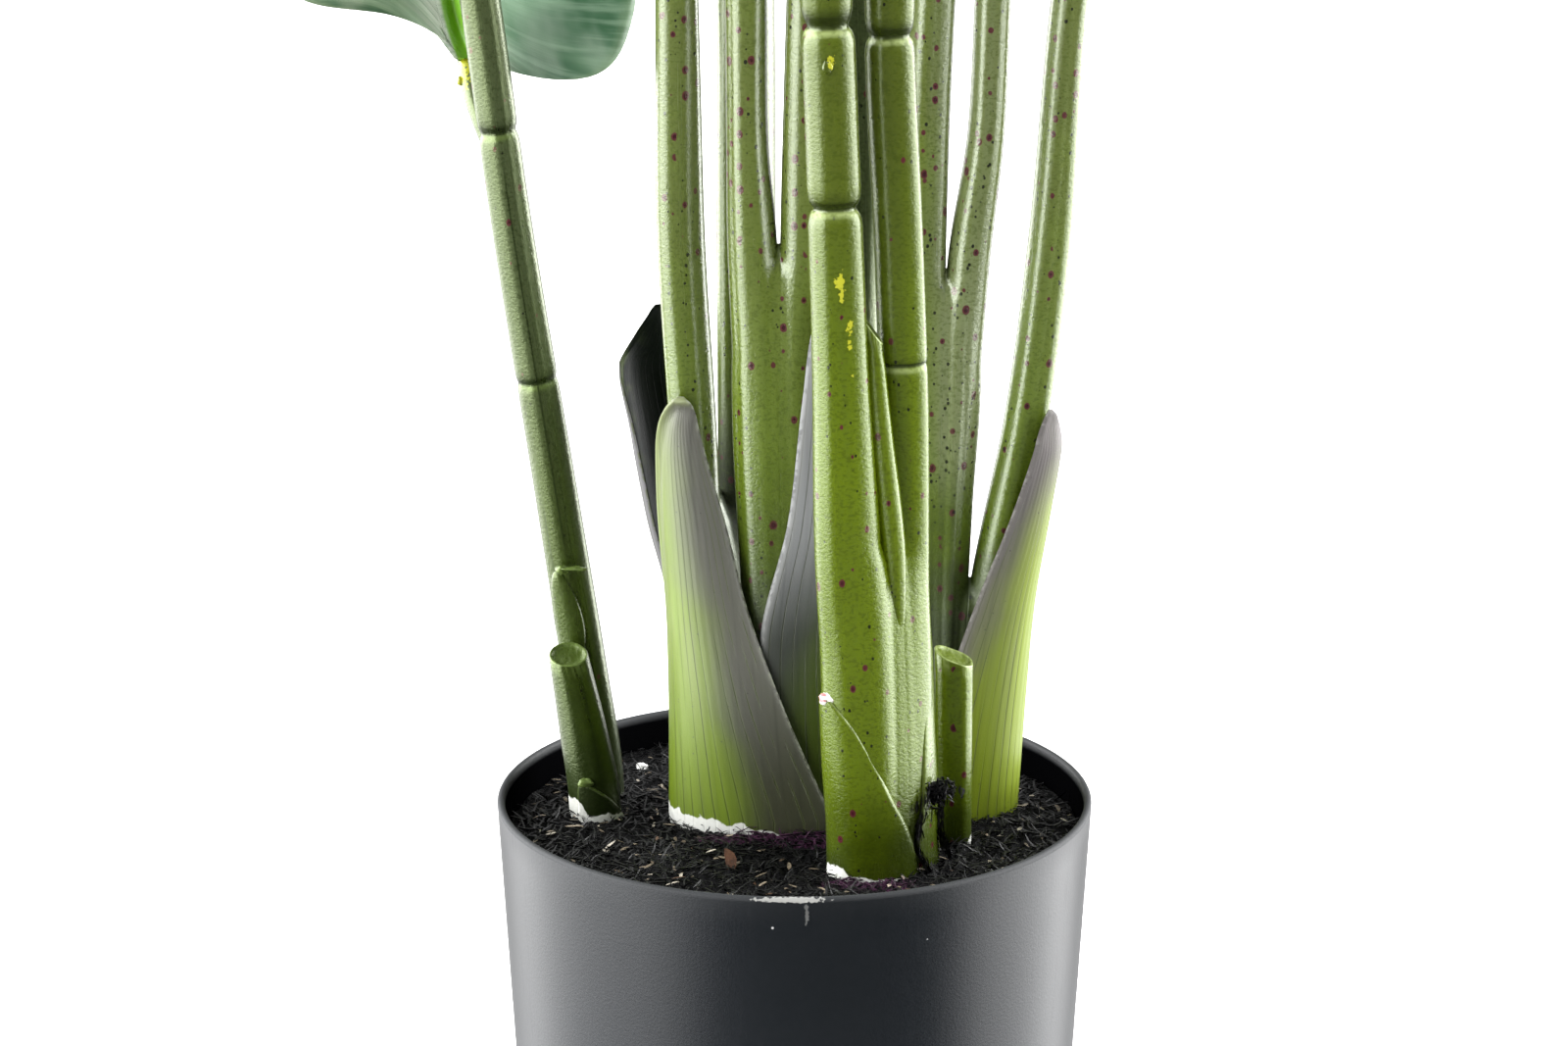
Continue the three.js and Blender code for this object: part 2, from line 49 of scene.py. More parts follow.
# Values in between: 0 below the start, 1 above the end and a smooth S between them
def ease(value, start, end):
    t = np.clip((np.asarray(value, float) - start) / (end - start), 0, 1)
    return t * t * (3 - 2 * t)


# Bell round a middle, as wide as its reach
def bell(value, middle, reach):
    return np.exp(-(((value - middle) / reach) ** 2))


# Vectors over their own length
def unit(vectors):
    return vectors / np.maximum(np.linalg.norm(vectors, axis=-1, keepdims=True), 1e-12)


# Smooth curve through rows that start with a height: cubic pieces whose slope at a row is that
# of the line between the rows on either side of it
def rowsAt(rows, z):
    table = np.asarray(rows, float)
    heights, values = table[:, :1], table[:, 1:]
    ends = np.diff(values, axis=0) / np.diff(heights, axis=0)
    inner = (values[2:] - values[:-2]) / (heights[2:] - heights[:-2])
    slopes = np.concatenate([ends[:1], inner, ends[-1:]])
    i = np.clip(np.searchsorted(heights[:, 0], z, side="right") - 1, 0, len(heights) - 2)
    step = heights[i + 1] - heights[i]
    t = (np.asarray(z, float)[:, None] - heights[i]) / step
    return (
        (1 + 2 * t) * (1 - t) ** 2 * values[i]
        + t * t * (3 - 2 * t) * values[i + 1]
        + t * (1 - t) ** 2 * step * slopes[i]
        - t * t * (1 - t) * step * slopes[i + 1]
    )


# A patch is a dictionary of points, four-sided and three-sided faces and values per point.
# Faces of a grid of points: each joins four neighbours, round and round where it wraps
def gridPatch(points, wrap=False, **values):
    rows, columns = points.shape[:2]
    index = np.arange(rows * columns).reshape(rows, columns)
    if wrap:
        index = np.concatenate([index, index[:, :1]], 1)
    quads = np.stack([index[:-1, :-1], index[1:, :-1], index[1:, 1:], index[:-1, 1:]], -1)
    flat = {name: np.reshape(v, (rows * columns, -1)) for name, v in values.items()}
    return {"points": points.reshape(-1, 3), "quads": quads.reshape(-1, 4), "values": flat}


# Closed sheet between two grids alike in rows and columns: both grids and a strip round the rim
def sheetPatch(front, back, **values):
    rows, columns = front.shape[:2]
    count = rows * columns
    patch = gridPatch(front, **values)
    index = np.arange(count).reshape(rows, columns)
    rim = np.concatenate([index[0, :-1], index[:-1, -1], index[-1, :0:-1], index[:0:-1, 0]])
    after = np.roll(rim, -1)
    strip = np.stack([rim, after, after + count, rim + count], -1)
    quads = [patch["quads"], patch["quads"][:, ::-1] + count, strip]
    return {
        "points": np.concatenate([patch["points"], back.reshape(-1, 3)]),
        "quads": np.concatenate(quads),
        "values": {
            "inner": np.repeat([[0.0], [1.0]], count, 0),
            **{name: np.concatenate([v, v]) for name, v in patch["values"].items()},
        },
    }


# Lid on a closed ring of points: rings drawn in towards the centre by the shares and raised by
# the lifts along the normal, and a fan round the centre
def lidPatch(ring, normal, shares=(1, 0.6), lifts=(0, 0), **values):
    centre = ring.mean(0)
    rings = np.stack([centre + (ring - centre) * s + normal * h for s, h in zip(shares, lifts)])
    patch = gridPatch(rings, True, **{n: np.repeat(v, len(ring)) for n, v in values.items()})
    count = len(patch["points"])
    last = np.arange(len(ring)) + count - len(ring)
    patch["points"] = np.concatenate([patch["points"], [centre + normal * lifts[-1]]])
    patch["tris"] = np.stack([last, np.full(len(ring), count), np.roll(last, -1)], -1)
    patch["values"] = {n: np.concatenate([v, v[-1:]]) for n, v in patch["values"].items()}
    return patch


# One mesh object in metres from patches: near points are joined, faces are turned outwards where
# the signed volume is negative, and values per point become attributes
def makePiece(name, patches, node, finish, smooth=True, weld=0.012):
    faces, sizes, start = [], [], 0
    for patch in patches:
        for key, corners in (("quads", 4), ("tris", 3)):
            if key in patch:
                faces.append((patch[key] + start).ravel())
                sizes.append(np.full(len(patch[key]), corners))
        start += len(patch["points"])
    points = np.concatenate([patch["points"] for patch in patches]) * mm
    faces, sizes = np.concatenate(faces), np.concatenate(sizes)
    mesh = bpy.data.meshes.new(name)
    mesh.vertices.add(len(points))
    mesh.vertices.foreach_set("co", points.astype(np.float32).ravel())
    mesh.loops.add(len(faces))
    mesh.loops.foreach_set("vertex_index", faces.astype(np.int32))
    mesh.polygons.add(len(sizes))
    mesh.polygons.foreach_set("loop_start", (np.cumsum(sizes) - sizes).astype(np.int32))
    mesh.polygons.foreach_set("loop_total", sizes.astype(np.int32))
    for key in sorted({key for patch in patches for key in patch["values"]}):
        kind, field = ("FLOAT_VECTOR", "vector") if key == "grain" else ("FLOAT", "value")
        blank = [0.0] * (3 if key == "grain" else 1)
        values = [p["values"].get(key, np.tile(blank, (len(p["points"]), 1))) for p in patches]
        layer = mesh.attributes.new(key, kind, "POINT")
        layer.data.foreach_set(field, np.concatenate(values).astype(np.float32).ravel())
    mesh.update(calc_edges=True)
    mesh.validate()
    shape = bmesh.new()
    shape.from_mesh(mesh)
    if weld:
        bmesh.ops.remove_doubles(shape, verts=shape.verts, dist=weld * mm)
    if shape.calc_volume(signed=True) < 0:
        bmesh.ops.reverse_faces(shape, faces=shape.faces)
    shape.to_mesh(mesh)
    shape.free()
    mesh.polygons.foreach_set("use_smooth", np.full(len(mesh.polygons), smooth))
    piece = bpy.data.objects.new(name, mesh)
    bpy.context.scene.collection.objects.link(piece)
    mesh.materials.append(finish)
    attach(piece, body)
    if node:
        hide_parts(node)


# Shader values. A Value wraps one socket, and sums and products on it add their Math nodes
class Value:
    def __init__(self, finish, socket):
        self.finish = finish
        self.socket = socket

    def maths(self, operation, *values):
        return self.finish.node("Math", {"operation": operation}, dict(enumerate(values)))

    def __add__(self, other):
        return self.maths("ADD", self, other)

    def __radd__(self, other):
        return self.maths("ADD", other, self)

    def __sub__(self, other):
        return self.maths("SUBTRACT", self, other)

    def __rsub__(self, other):
        return self.maths("SUBTRACT", other, self)

    def __mul__(self, other):
        return self.maths("MULTIPLY", self, other)

    def __rmul__(self, other):
        return self.maths("MULTIPLY", other, self)

    def __abs__(self):
        return self.maths("ABSOLUTE", self)


# A material, or the studio's world, and the nodes that it is made of
class Finish:
    def __init__(self, name, world=None):
        self.material = world or bpy.data.materials.new(name)
        self.material.use_nodes = True
        self.tree = self.material.node_tree
        self.tree.nodes.clear()
        self.place = self.node("TexCoord", output="Generated" if world else "Object")

    # Any node: its type, its settings, then the values or links of its sockets
    def node(self, kind, settings=None, inputs=None, output=0):
        node = self.tree.nodes.new("ShaderNode" + kind)
        for key, setting in (settings or {}).items():
            if key == "stops":
                ramp = node.color_ramp
                for extra in setting[2:]:
                    ramp.elements.new(extra[0])
                for stop, (position, colour) in zip(ramp.elements, setting):
                    stop.position = position
                    stop.color = (*colour, 1)
            else:
                setattr(node, key, setting)
        for key, value in (inputs or {}).items():
            if isinstance(value, Value):
                self.tree.links.new(value.socket, node.inputs[key])
            else:
                node.inputs[key].default_value = value
        return Value(self, node.outputs[output] if len(node.outputs) else None)

    def noise(self, scale, detail=2.0, place=None, roughness=0.5, distortion=0.0):
        inputs = {"Scale": scale, "Detail": detail, "Roughness": roughness}
        inputs.update({"Vector": place or self.place, "Distortion": distortion})
        return self.node("TexNoise", {}, inputs)

    def stretched(self, place, scale):
        return self.node("Mapping", {}, {"Vector": place, "Scale": scale})

    # Noise with its own scale along each axis
    def streaks(self, place, scale, detail, roughness=0.5, distortion=0.0):
        return self.noise(1, detail, self.stretched(place, scale), roughness, distortion)

    # Cells: how far a place is from its cell's middle, and the size of the cell's speck, by which
    # its chance passes the rare limit
    def cells(self, scale, rare, size, channel=1, place=None):
        far = self.node("TexVoronoi", {}, {"Vector": place or self.place, "Scale": scale})
        chance = self.axes(Value(self, far.socket.node.outputs["Color"]))[channel]
        return far, (chance - rare) * size

    def attribute(self, name, output="Fac"):
        return self.node("Attribute", {"attribute_name": name}, {}, output)

    def between(self, value, start, end, low=0.0, high=1.0):
        inputs = {0: value, 1: start, 2: end, 3: low, 4: high}
        return self.node("MapRange", {"interpolation_type": "SMOOTHSTEP"}, inputs)

    def mix(self, share, first, second, blend="MIX"):
        colours = [c if isinstance(c, Value) else (*c, 1) for c in (first, second)]
        settings = {"data_type": "RGBA", "blend_type": blend}
        return self.node("Mix", settings, {0: share, 6: colours[0], 7: colours[1]}, 2)

    # Coats over a colour. Each has a value, the limits that it fades in between, its share where
    # it is full, and its own colour
    def coats(self, colour, *coats):
        for value, start, end, share, paint in coats:
            colour = self.mix(self.between(value, start, end) * share, colour, paint)
        return colour

    def axes(self, vector):
        sockets = self.node("SeparateXYZ", {}, {0: vector}).socket.node.outputs
        return [Value(self, sockets[k]) for k in range(3)]

    # Mask round a point given in millimetres: 1 within the size, ragged by noise
    def blot(self, point, size, ragged=0.35, stretch=(1, 1, 1)):
        centre = tuple(-p * mm * s for p, s in zip(point, stretch))
        moved = self.node("Mapping", {}, {"Vector": self.place, "Location": centre, "Scale": stretch})
        far = self.node("VectorMath", {"operation": "LENGTH"}, {0: moved}, "Value")
        wobble = self.noise(900, 3) * (ragged * 2 * size * mm) - ragged * size * mm
        return self.between(far + wobble, size * mm, size * mm * 0.8)

    # Glossy paint or fibre, dented by a height
    def shader(self, colour, roughness, height, distance, strength, **fixed):
        bump = {"Height": height, "Distance": distance, "Strength": strength}
        inputs = {"Base Color": colour, "Roughness": roughness}
        inputs.update({key.replace("_", " "): value for key, value in fixed.items()})
        inputs["Normal"] = self.node("Bump", {}, bump, "Normal")
        return self.node("BsdfPrincipled", {}, inputs)

    def surface(self, *values, **fixed):
        self.node("OutputMaterial", {}, {"Surface": self.shader(*values, **fixed)})
        return self.material


# All the masks together: 1 where any of them is
def union(masks):
    total = masks[0]
    for mask in masks[1:]:
        total = total + mask - total * mask
    return total


print("frame loaded:", len(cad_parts), "nodes")

# Camera at the photograph's place, in metres, degrees and millimetres of lens on a 36 mm width
view = {"place": (-0.00334, -1.1785, 0.5867), "pitch": 74.471, "lens": 89.41, "sensor": 36}

camera = bpy.data.objects.new("camera", bpy.data.cameras.new("camera"))
camera.data.lens = view["lens"]
camera.data.sensor_width = view["sensor"]
camera.data.clip_start, camera.data.clip_end = 0.05, 60
camera.location = view["place"]
camera.rotation_euler = (math.radians(view["pitch"]), 0, 0)
bpy.context.scene.collection.objects.link(camera)
bpy.context.scene.camera = camera

# Studio: a pale floor under a soft surround, with a tall light box at each side. Angles go from
# straight in front of the plant, in degrees; boxes fade in and out over theirs
studio = {
    "floor": 0.8,
    "reach": 14,
    "leftBox": {"angles": (26, 60, 118, 157), "strength": 14},
    "rightBox": {"angles": (57, 83, 123, 150), "strength": 16.2},
    "boxHeights": (-0.65, 0.1, 0.5, 0.8),
    "front": 0.06,
    "back": 0.8,
    "top": 1.3,
    "topHeights": (0.45, 0.85),
}


# Floor: one big square of pale paper, half a millimetre under the pot
def makeFloor():
    mesh = bpy.data.meshes.new("floor")
    corners = np.array([(-1, -1), (1, -1), (1, 1), (-1, 1)]) * studio["reach"]
    mesh.from_pydata([(x, y, -0.5 * mm) for x, y in corners], [], [(0, 1, 2, 3)])
    floor = bpy.data.objects.new("floor", mesh)
    bpy.context.scene.collection.objects.link(floor)
    paper = Finish("floor paper")
    tone = paper.between(paper.noise(3), 0.2, 0.8, 0.98, 1.0) * studio["floor"]
    colour = paper.node("CombineColor", {}, {0: tone, 1: tone, 2: tone})
    inputs = {"Base Color": colour, "Roughness": 0.85, "Specular IOR Level": 0.1}
    sheet = paper.node("BsdfPrincipled", {}, inputs)
    # gloss on the plant looks past the floor, to the light boxes
    glossy = paper.node("LightPath", output="Is Glossy Ray")
    both = paper.node("MixShader", {}, {0: glossy, 1: sheet, 2: paper.node("BsdfTransparent")})
    paper.node("OutputMaterial", {}, {"Surface": both})
    mesh.materials.append(paper.material)


# Surround: brighter behind and above, with the two light boxes, and white to the camera
def makeSky():
    scene = bpy.context.scene
    scene.world = bpy.data.worlds.new("studio")
    sky = Finish("studio", scene.world)
    x, y, z = sky.axes(sky.place)
    angle = sky.node("Math", {"operation": "ARCTAN2"}, {0: x, 1: y * -1})
    low, full, fullTop, top = studio["boxHeights"]
    level = sky.between(z, low, full) * sky.between(z, top, fullTop)
    light = sky.between(y, 0.0, 0.7, studio["front"], studio["back"])
    light = light + sky.between(z, *studio["topHeights"]) * studio["top"]
    for box, side in (("leftBox", -1), ("rightBox", 1)):
        start, rise, fall, end = [math.radians(a) for a in studio[box]["angles"]]
        turn = angle * side
        share = sky.between(turn, start, rise) * sky.between(turn, end, fall)
        light = light + share * level * studio[box]["strength"]
    seen = sky.node("LightPath", output="Is Camera Ray")
    light = seen + light * (1 - seen)
    shade = sky.node("Background", {}, {"Color": (1, 1, 1, 1), "Strength": light})
    sky.node("OutputWorld", {}, {"Surface": shade})
    scene.view_settings.view_transform = "Standard"
    scene.view_settings.look = "None"


makeFloor()
makeSky()
print("studio and camera placed")

# Stems. Lobes are the petioles side by side in one moulding, from left to right, in rows of
# height, x, y, half width, half depth. A web fills the space over lobes up to its crotch, where
# they part after one of them. By lobe: facets are told under moulding; a groove has its place
# across, depth and width; a ring its height, how much longer its neck is and how much deeper
stems = {
    "stem_left": {
        "turn": 0, "finish": "darkStem", "facets": {0: (4, 45, -0.03)},
        "grooves": {0: [(0.28, 0.22, 0.8)]}, "rings": {0: [(300, 0.8, 0.35), (380, 1.2, 0.6)]},
        "lobes": [[
            [90, -63.5, 31, 7.6, 7.4], [162, -63.5, 31, 7.6, 7.4], [200, -68, 30, 7.4, 7.2],
            [260, -76, 26, 6.9, 6.8], [350, -88.5, 21, 6.4, 6.4], [430, -98, 18, 6.2, 6.2],
            [540, -114, 13, 5.6, 5.6], [630, -142, 6, 4.8, 4.8],
        ]],
    },
    "stub_left": {
        "turn": 0, "finish": "darkStem", "cut": (0, 0.36),
        "lobes": [[
            [90, -64.5, 12, 8.4, 8], [162, -64.5, 12, 8.4, 8], [185, -67.7, 12, 7.8, 7.4],
            [212, -72.4, 12, 6.3, 6.2],
        ]],
    },
    "stem_mid_left": {
        "turn": 38, "finish": "paleStem", "facets": {0: (8, -38, -0.012), 1: (8, -38, -0.012)},
        "grooves": {1: [(-0.42, 0.35, 0.9)]},
        "lobes": [[
            [90, -32, 17, 7, 6.6], [162, -32, 17, 7, 6.6], [200, -31.5, 16.5, 6.6, 6.4],
            [262, -31, 13, 7.8, 6.5], [350, -35.4, 12, 8, 6.4], [430, -36.2, 12, 6.9, 6.2],
            [600, -41, 21, 6, 5.6], [800, -60, 50, 4.8, 4.6],
        ], [
            [90, -16.5, 28.5, 7.5, 6.6], [162, -16.5, 28.5, 7.5, 6.6], [200, -16.5, 29, 8, 6.2],
            [262, -15.6, 33, 10.2, 6.2], [350, -15.4, 35, 10.6, 6.4], [430, -15.3, 36, 10, 6.2],
            [560, -18, 50, 7, 5.6], [690, -28, 84, 4.8, 4.6],
        ]],
        "webs": [{"over": (0, 1), "after": 0, "crotch": 263, "rows": [
            [90, -24, 23, 16, 7.5], [162, -24, 23, 16, 7.5], [230, -24, 23, 17, 7.5],
            [254, -23.5, 22.5, 13, 5], [266, -23.5, 22.5, 8, 3],
        ]}],
    },
    "stem_centre": {
        "turn": 0, "finish": "paleStem", "grooves": {0: [(-0.78, 0.3, 0.7)]},
        "lobes": [[
            [90, -9, 8.5, 6.4, 6.2], [230, -10, 8.5, 6.6, 6.3], [280, -11, 8, 7, 6.2],
            [345, -13.1, 8, 7.8, 7], [380, -14.7, 8, 6.5, 6.6], [430, -15.1, 8, 6.4, 6.3],
            [640, -20, 0, 5.8, 5.6], [860, -46, -28, 4.8, 4.6],
        ], [
            [90, 5, 8.5, 6.4, 6.2], [230, 4, 8.5, 6.6, 6.3], [280, 2, 8, 7, 6.2], [345, 3, 8, 7.6, 7],
            [400, 3.6, 8, 6.9, 6.6], [430, 4, 8, 6.5, 6.3], [700, 8, 7, 5.8, 5.6],
            [950, 20, 10, 4.8, 4.6],
        ]],
        "webs": [{"over": (0, 1), "after": 0, "crotch": 347, "rows": [
            [90, -2, 8.5, 13.5, 7], [162, -2, 8.5, 13.5, 7], [230, -3, 8.5, 13.8, 7],
            [290, -4.9, 8, 14.7, 7.2], [326, -4.9, 8, 13.6, 6.4], [350, -5, 8, 7, 4],
        ]}],
    },
    "stem_back": {
        "turn": 0, "finish": "darkStem",
        "lobes": [[
            [90, 18, 19, 7.5, 7], [162, 18, 19, 7.5, 7], [230, 18.5, 21, 7.3, 7],
            [320, 19.2, 25, 7.2, 6.8], [390, 19.8, 26.6, 8, 6.8], [430, 19.4, 28, 7.4, 6.6],
            [600, 23, 40, 6, 5.8], [850, 44, 84, 4.8, 4.6],
        ]],
    },
    "stem_front": {
        "turn": 33, "finish": "freshStem", "facets": {0: (8, -33, -0.011), 1: (8, -33, -0.011)},
        "grooves": {0: [(0.33, -0.9, 4)], 1: [(0.33, -0.7, 3)]},
        "rings": {0: [(368, 1.3, 1.35), (422, 2.2, 1.35)], 1: [(319, 0.5, 0.3), (418, 1.6, 1.1)]},
        "lobes": [[
            [90, 18, -41, 8.5, 8], [190, 18.5, -40, 9, 8], [260, 16.3, -42, 11, 8.6],
            [320, 13.4, -42.5, 8.6, 8], [350, 12.1, -43, 8.1, 7.8], [430, 8.8, -44, 7.9, 7.6],
            [540, 2, -56, 6.6, 6.4], [640, -14, -88, 4.8, 4.8],
        ], [
            [90, 36, -28.5, 7.6, 7], [190, 34.5, -29.3, 7.6, 7], [290, 33.4, -32.6, 7.4, 7],
            [350, 31.1, -34, 7.5, 7.2], [430, 27.6, -35, 7.6, 7.2], [600, 32, -50, 6.4, 6],
            [780, 52, -92, 4.8, 4.6],
        ]],
        "webs": [{"over": (0, 1), "after": 0, "crotch": 269, "rows": [
            [90, 28, -35.2, 18.5, 12], [162, 28, -35.2, 18.5, 12], [200, 26, -35.7, 19, 11.5],
            [240, 24.5, -36.5, 18.4, 9.5], [262, 24, -37.5, 13, 7], [274, 24, -38, 8, 4],
        ]}],
    },
    "stub_right": {
        "turn": 0, "finish": "freshStem", "cut": (-0.4, 0.1), "square": 2.8,
        "lobes": [[
            [90, 50.5, -11, 5.7, 5.6], [162, 50.5, -11, 5.7, 5.6], [219, 49.9, -12, 6.1, 5.6],
        ]],
    },
    "stem_right": {
        "turn": 0, "finish": "paleStem",
        "facets": {0: (4, -14, 0.04), 1: (4, -14, 0.04), 2: (4, -12, 0.045)},
        "grooves": {0: [(0.2, 0.25, 0.7)], 1: [(0.12, 0.3, 0.8)], 2: [(0.27, 0.2, 0.8), (0.78, -0.7, 3)]},
        "lobes": [[
            [90, 44, 20, 6, 6.8], [162, 44, 20, 6, 6.8], [205, 42.5, 17.5, 5.6, 6.4],
            [270, 42, 15, 6, 6.4], [340, 39.9, 14, 7.3, 6.6], [430, 42.6, 12, 7, 6.4],
            [560, 52, 18, 6, 5.6], [700, 86, 38, 4.8, 4.6],
        ], [
            [90, 52, 20, 6, 7], [162, 52, 20, 6, 7], [205, 49.5, 17.5, 5.4, 6.6],
            [270, 50.5, 15, 6, 6.2], [340, 54.3, 14, 6.7, 6.4], [380, 59, 13, 5.8, 6.2],
            [430, 60.9, 12, 5.6, 6], [640, 74, 4, 5.4, 5.4], [850, 112, -14, 4.8, 4.6],
        ], [
            [90, 60, 19.5, 5.6, 6.6], [162, 60, 19.5, 5.8, 6.6], [190, 60, 18.5, 6.8, 6.8],
            [232, 63.7, 16, 8, 6.8], [290, 73.1, 15, 6.9, 6.6], [350, 79.7, 15, 6.7, 6.4],
            [430, 85, 14, 5.7, 6], [530, 100, 15, 5.4, 5.4], [630, 134, 20, 4.8, 4.8],
        ]],
        "webs": [{"over": (0, 2), "after": 1, "crotch": 237, "rows": [
            [90, 52, 20, 14, 8], [162, 52, 20, 14, 8], [200, 52, 18.5, 16, 8],
            [226, 53.5, 16.5, 14, 6.6], [240, 56.5, 15.5, 6, 4],
        ]}, {"over": (0, 1), "after": 0, "crotch": 338, "rows": [
            [90, 47, 19, 9, 7], [205, 46, 17, 9, 7], [260, 46, 15, 10.6, 7.4],
            [300, 46.6, 14.5, 12.2, 7], [325, 47.4, 14.5, 10, 6], [340, 48, 14, 5, 4],
        ]}],
    },
}

# Moulding of the stems: columns over half a lobe's round, row spacing, the finer rows' reach and
# count below a crotch, how roundly a web ends there, how sharply lobes and webs blend, the least
# gap between lobes, the heights over which a petiole turns square to its line and a cut slants,
# the wobble of the skin, and the facets round a lobe: how many, the angle of the first and their
# share of the radius. Below the root's top there is one row, and a cut stub's rows stay level.
# The skin's waves are shifted by the phase for each letter of a stem's name
moulding = {
    "columns": 28, "step": 5, "fine": (24, 9), "webRound": 9, "blend": 5, "leastGap": 0.12,
    "turnOver": 45, "cutOver": 14, "wobble": 0.1, "facets": (8, 0, -0.011), "rootTop": 155,
    "phase": 1.7,
}

# A node ring: inset at distances above it, from the lower joint's shoulder to the upper joint
ringHeights = np.array([-9, -5.5, -3.6, -2.4, -1.6, -1, -0.5, -0.15, 0.15, 0.5, 0.9, 1.5, 2.6, 5])
ringInsets = [0, 0, 0.1, 0.32, 0.58, 0.9, 1.2, 1.38, 1.42, 1.3, 1.0, 0.6, 0.22, 0]


# Heights of the rows from low to high: even steps, finer near each ring and below a crotch
def heightsFor(low, high, rings, crotch):
    count = max(2, int(round((high - low) / moulding["step"])))
    heights = [np.linspace(low, high, count + 1)]
    for ring, neck, _ in rings:
        heights.append(ring + ringHeights * np.where(ringHeights > 0, neck, 1))
    if crotch:
        reach, rows = moulding["fine"]
        heights.append(high - reach * np.linspace(0, 1, rows) ** 2)
    heights = np.unique(np.round(np.concatenate(heights), 3))
    heights = heights[(heights >= low) & (heights <= high)]
    keep = np.concatenate([[True], np.diff(heights) > 0.2])
    keep[-1] = True
    return heights[keep]


# Inset, pale lip, which is a painted highlight, and dark groove of the rings at each height
def ringMarks(z, rings):
    inset, pale, dark = np.zeros((3, *np.shape(z)))
    for ring, neck, deep in rings:
        far = z - ring
        far = far / np.where(far > 0, neck, 1)
        inset += deep * np.interp(far, ringHeights, ringInsets)
        # pale band on the lower joint's shoulder, just below the groove: a painted highlight
        pale += 0.75 * bell(far, -1.1, 0.8)
        dark += ease(far, -0.5, -0.1) * ease(far, 3.4, 1.5)
    return inset, pale, dark


# Relief of a lobe's skin outwards: three slow waves round and along it, facets with ridges
# between them, and grooves down its front. It dies out at the lobe's left and right ends
def reliefAt(spec, lobe, angle, z, halfWidth, halfDepth, seed):
    waves = np.sin(2 * angle + z / 31 + seed) + 0.7 * np.sin(3 * angle - z / 47 + 2.1 * seed)
    relief = moulding["wobble"] * (waves + 0.6 * np.sin(z / 13 + 3.3 * seed))
    count, phase, share = spec.get("facets", {}).get(lobe, moulding["facets"])
    turn = angle + math.radians(90 - phase) - 0.06 * np.sin(z / 58 + seed)
    relief = relief + share * (halfWidth + halfDepth) / 2 * np.cos(count * turn)
    for place, deep, wide in spec.get("grooves", {}).get(lobe, []):
        groove = bell((np.cos(angle) - place) * halfWidth, 0, wide)
        relief = relief - deep * groove * (np.sin(angle) < 0)
    return relief * (1 - np.cos(angle) ** 8)


# Direction of a line through rows at a height, from points one millimetre below and above
def directionAt(rows, z):
    low = np.maximum(z - 1, rows[0][0])
    high = np.minimum(z + 1, rows[-1][0])
    ends = rowsAt(rows, high)[:, :2] - rowsAt(rows, low)[:, :2]
    return unit(np.concatenate([ends, (high - low)[:, None]], 1))


# Petiole above its crotch: rounded sections whose plane turns from level to square across the
# line. A power of two on cosine and sine gives an ellipse, and a higher one a squarer section
def petioleGrid(spec, lobe, z, turn, rings, levelTo, seed):
    rows = spec["lobes"][lobe]
    x, y, halfWidth, halfDepth = rowsAt(rows, z).T[..., None]
    sides = 2 * moulding["columns"]
    angle = np.pi - 2 * np.pi * np.arange(sides) / sides
    share = ease(z, levelTo, levelTo + moulding["turnOver"])[:, None]
    direction = unit(up * (1 - share) + directionAt(rows, z) * share)
    wide = np.array([math.cos(turn), math.sin(turn), 0])
    wide = unit(wide - (direction @ wide)[:, None] * direction)
    deep = np.cross(direction, wide)
    power = 2 / spec.get("square", 2)
    c, s = [np.sign(v) * np.abs(v) ** power for v in (np.cos(angle), np.sin(angle))]
    flat = np.stack([halfWidth * c, halfDepth * s], -1)
    offset = wide[:, None] * flat[..., :1] + deep[:, None] * flat[..., 1:]
    inset, pale, dark = [v[:, None] for v in ringMarks(z, rings)]
    z = z[:, None]
    inset = inset - reliefAt(spec, lobe, angle, z, halfWidth, halfDepth, seed + lobe)
    inset = inset - 0.2 * pale * np.sin(5 * angle + seed) * np.sin(3 * angle + 1)
    offset = offset * (1 - inset / np.linalg.norm(offset, axis=-1))[..., None]
    grain = placed(flat[..., 0], flat[..., 1], z, 0) * mm
    values = {"grain": grain, "pale": pale + 0 * inset, "dark": dark + 0 * inset}
    return np.stack([x, y, z], -1) + offset, values, direction


# Lobe or web at heights z: its place and half sizes in the turned frame, as columns
def turned(rows, z, turn):
    x, y, halfWidth, halfDepth = rowsAt(rows, z).T[..., None]
    across = x * math.cos(turn) + y * math.sin(turn)
    deep = -x * math.sin(turn) + y * math.cos(turn)
    return across, deep, halfWidth, halfDepth


# Places across and deep in the turned frame, put back round a point of the plant's own frame
def placed(across, deep, z, turn, x=0, y=0):
    px = x + across * math.cos(turn) - deep * math.sin(turn)
    py = y + across * math.sin(turn) + deep * math.cos(turn)
    return np.stack(np.broadcast_arrays(px, py, z), -1)


# Webs whose lobes are all between the first and the last
def websWithin(spec, first, last):
    webs = spec.get("webs", [])
    return [web for web in webs if web["over"][0] >= first and web["over"][1] <= last]


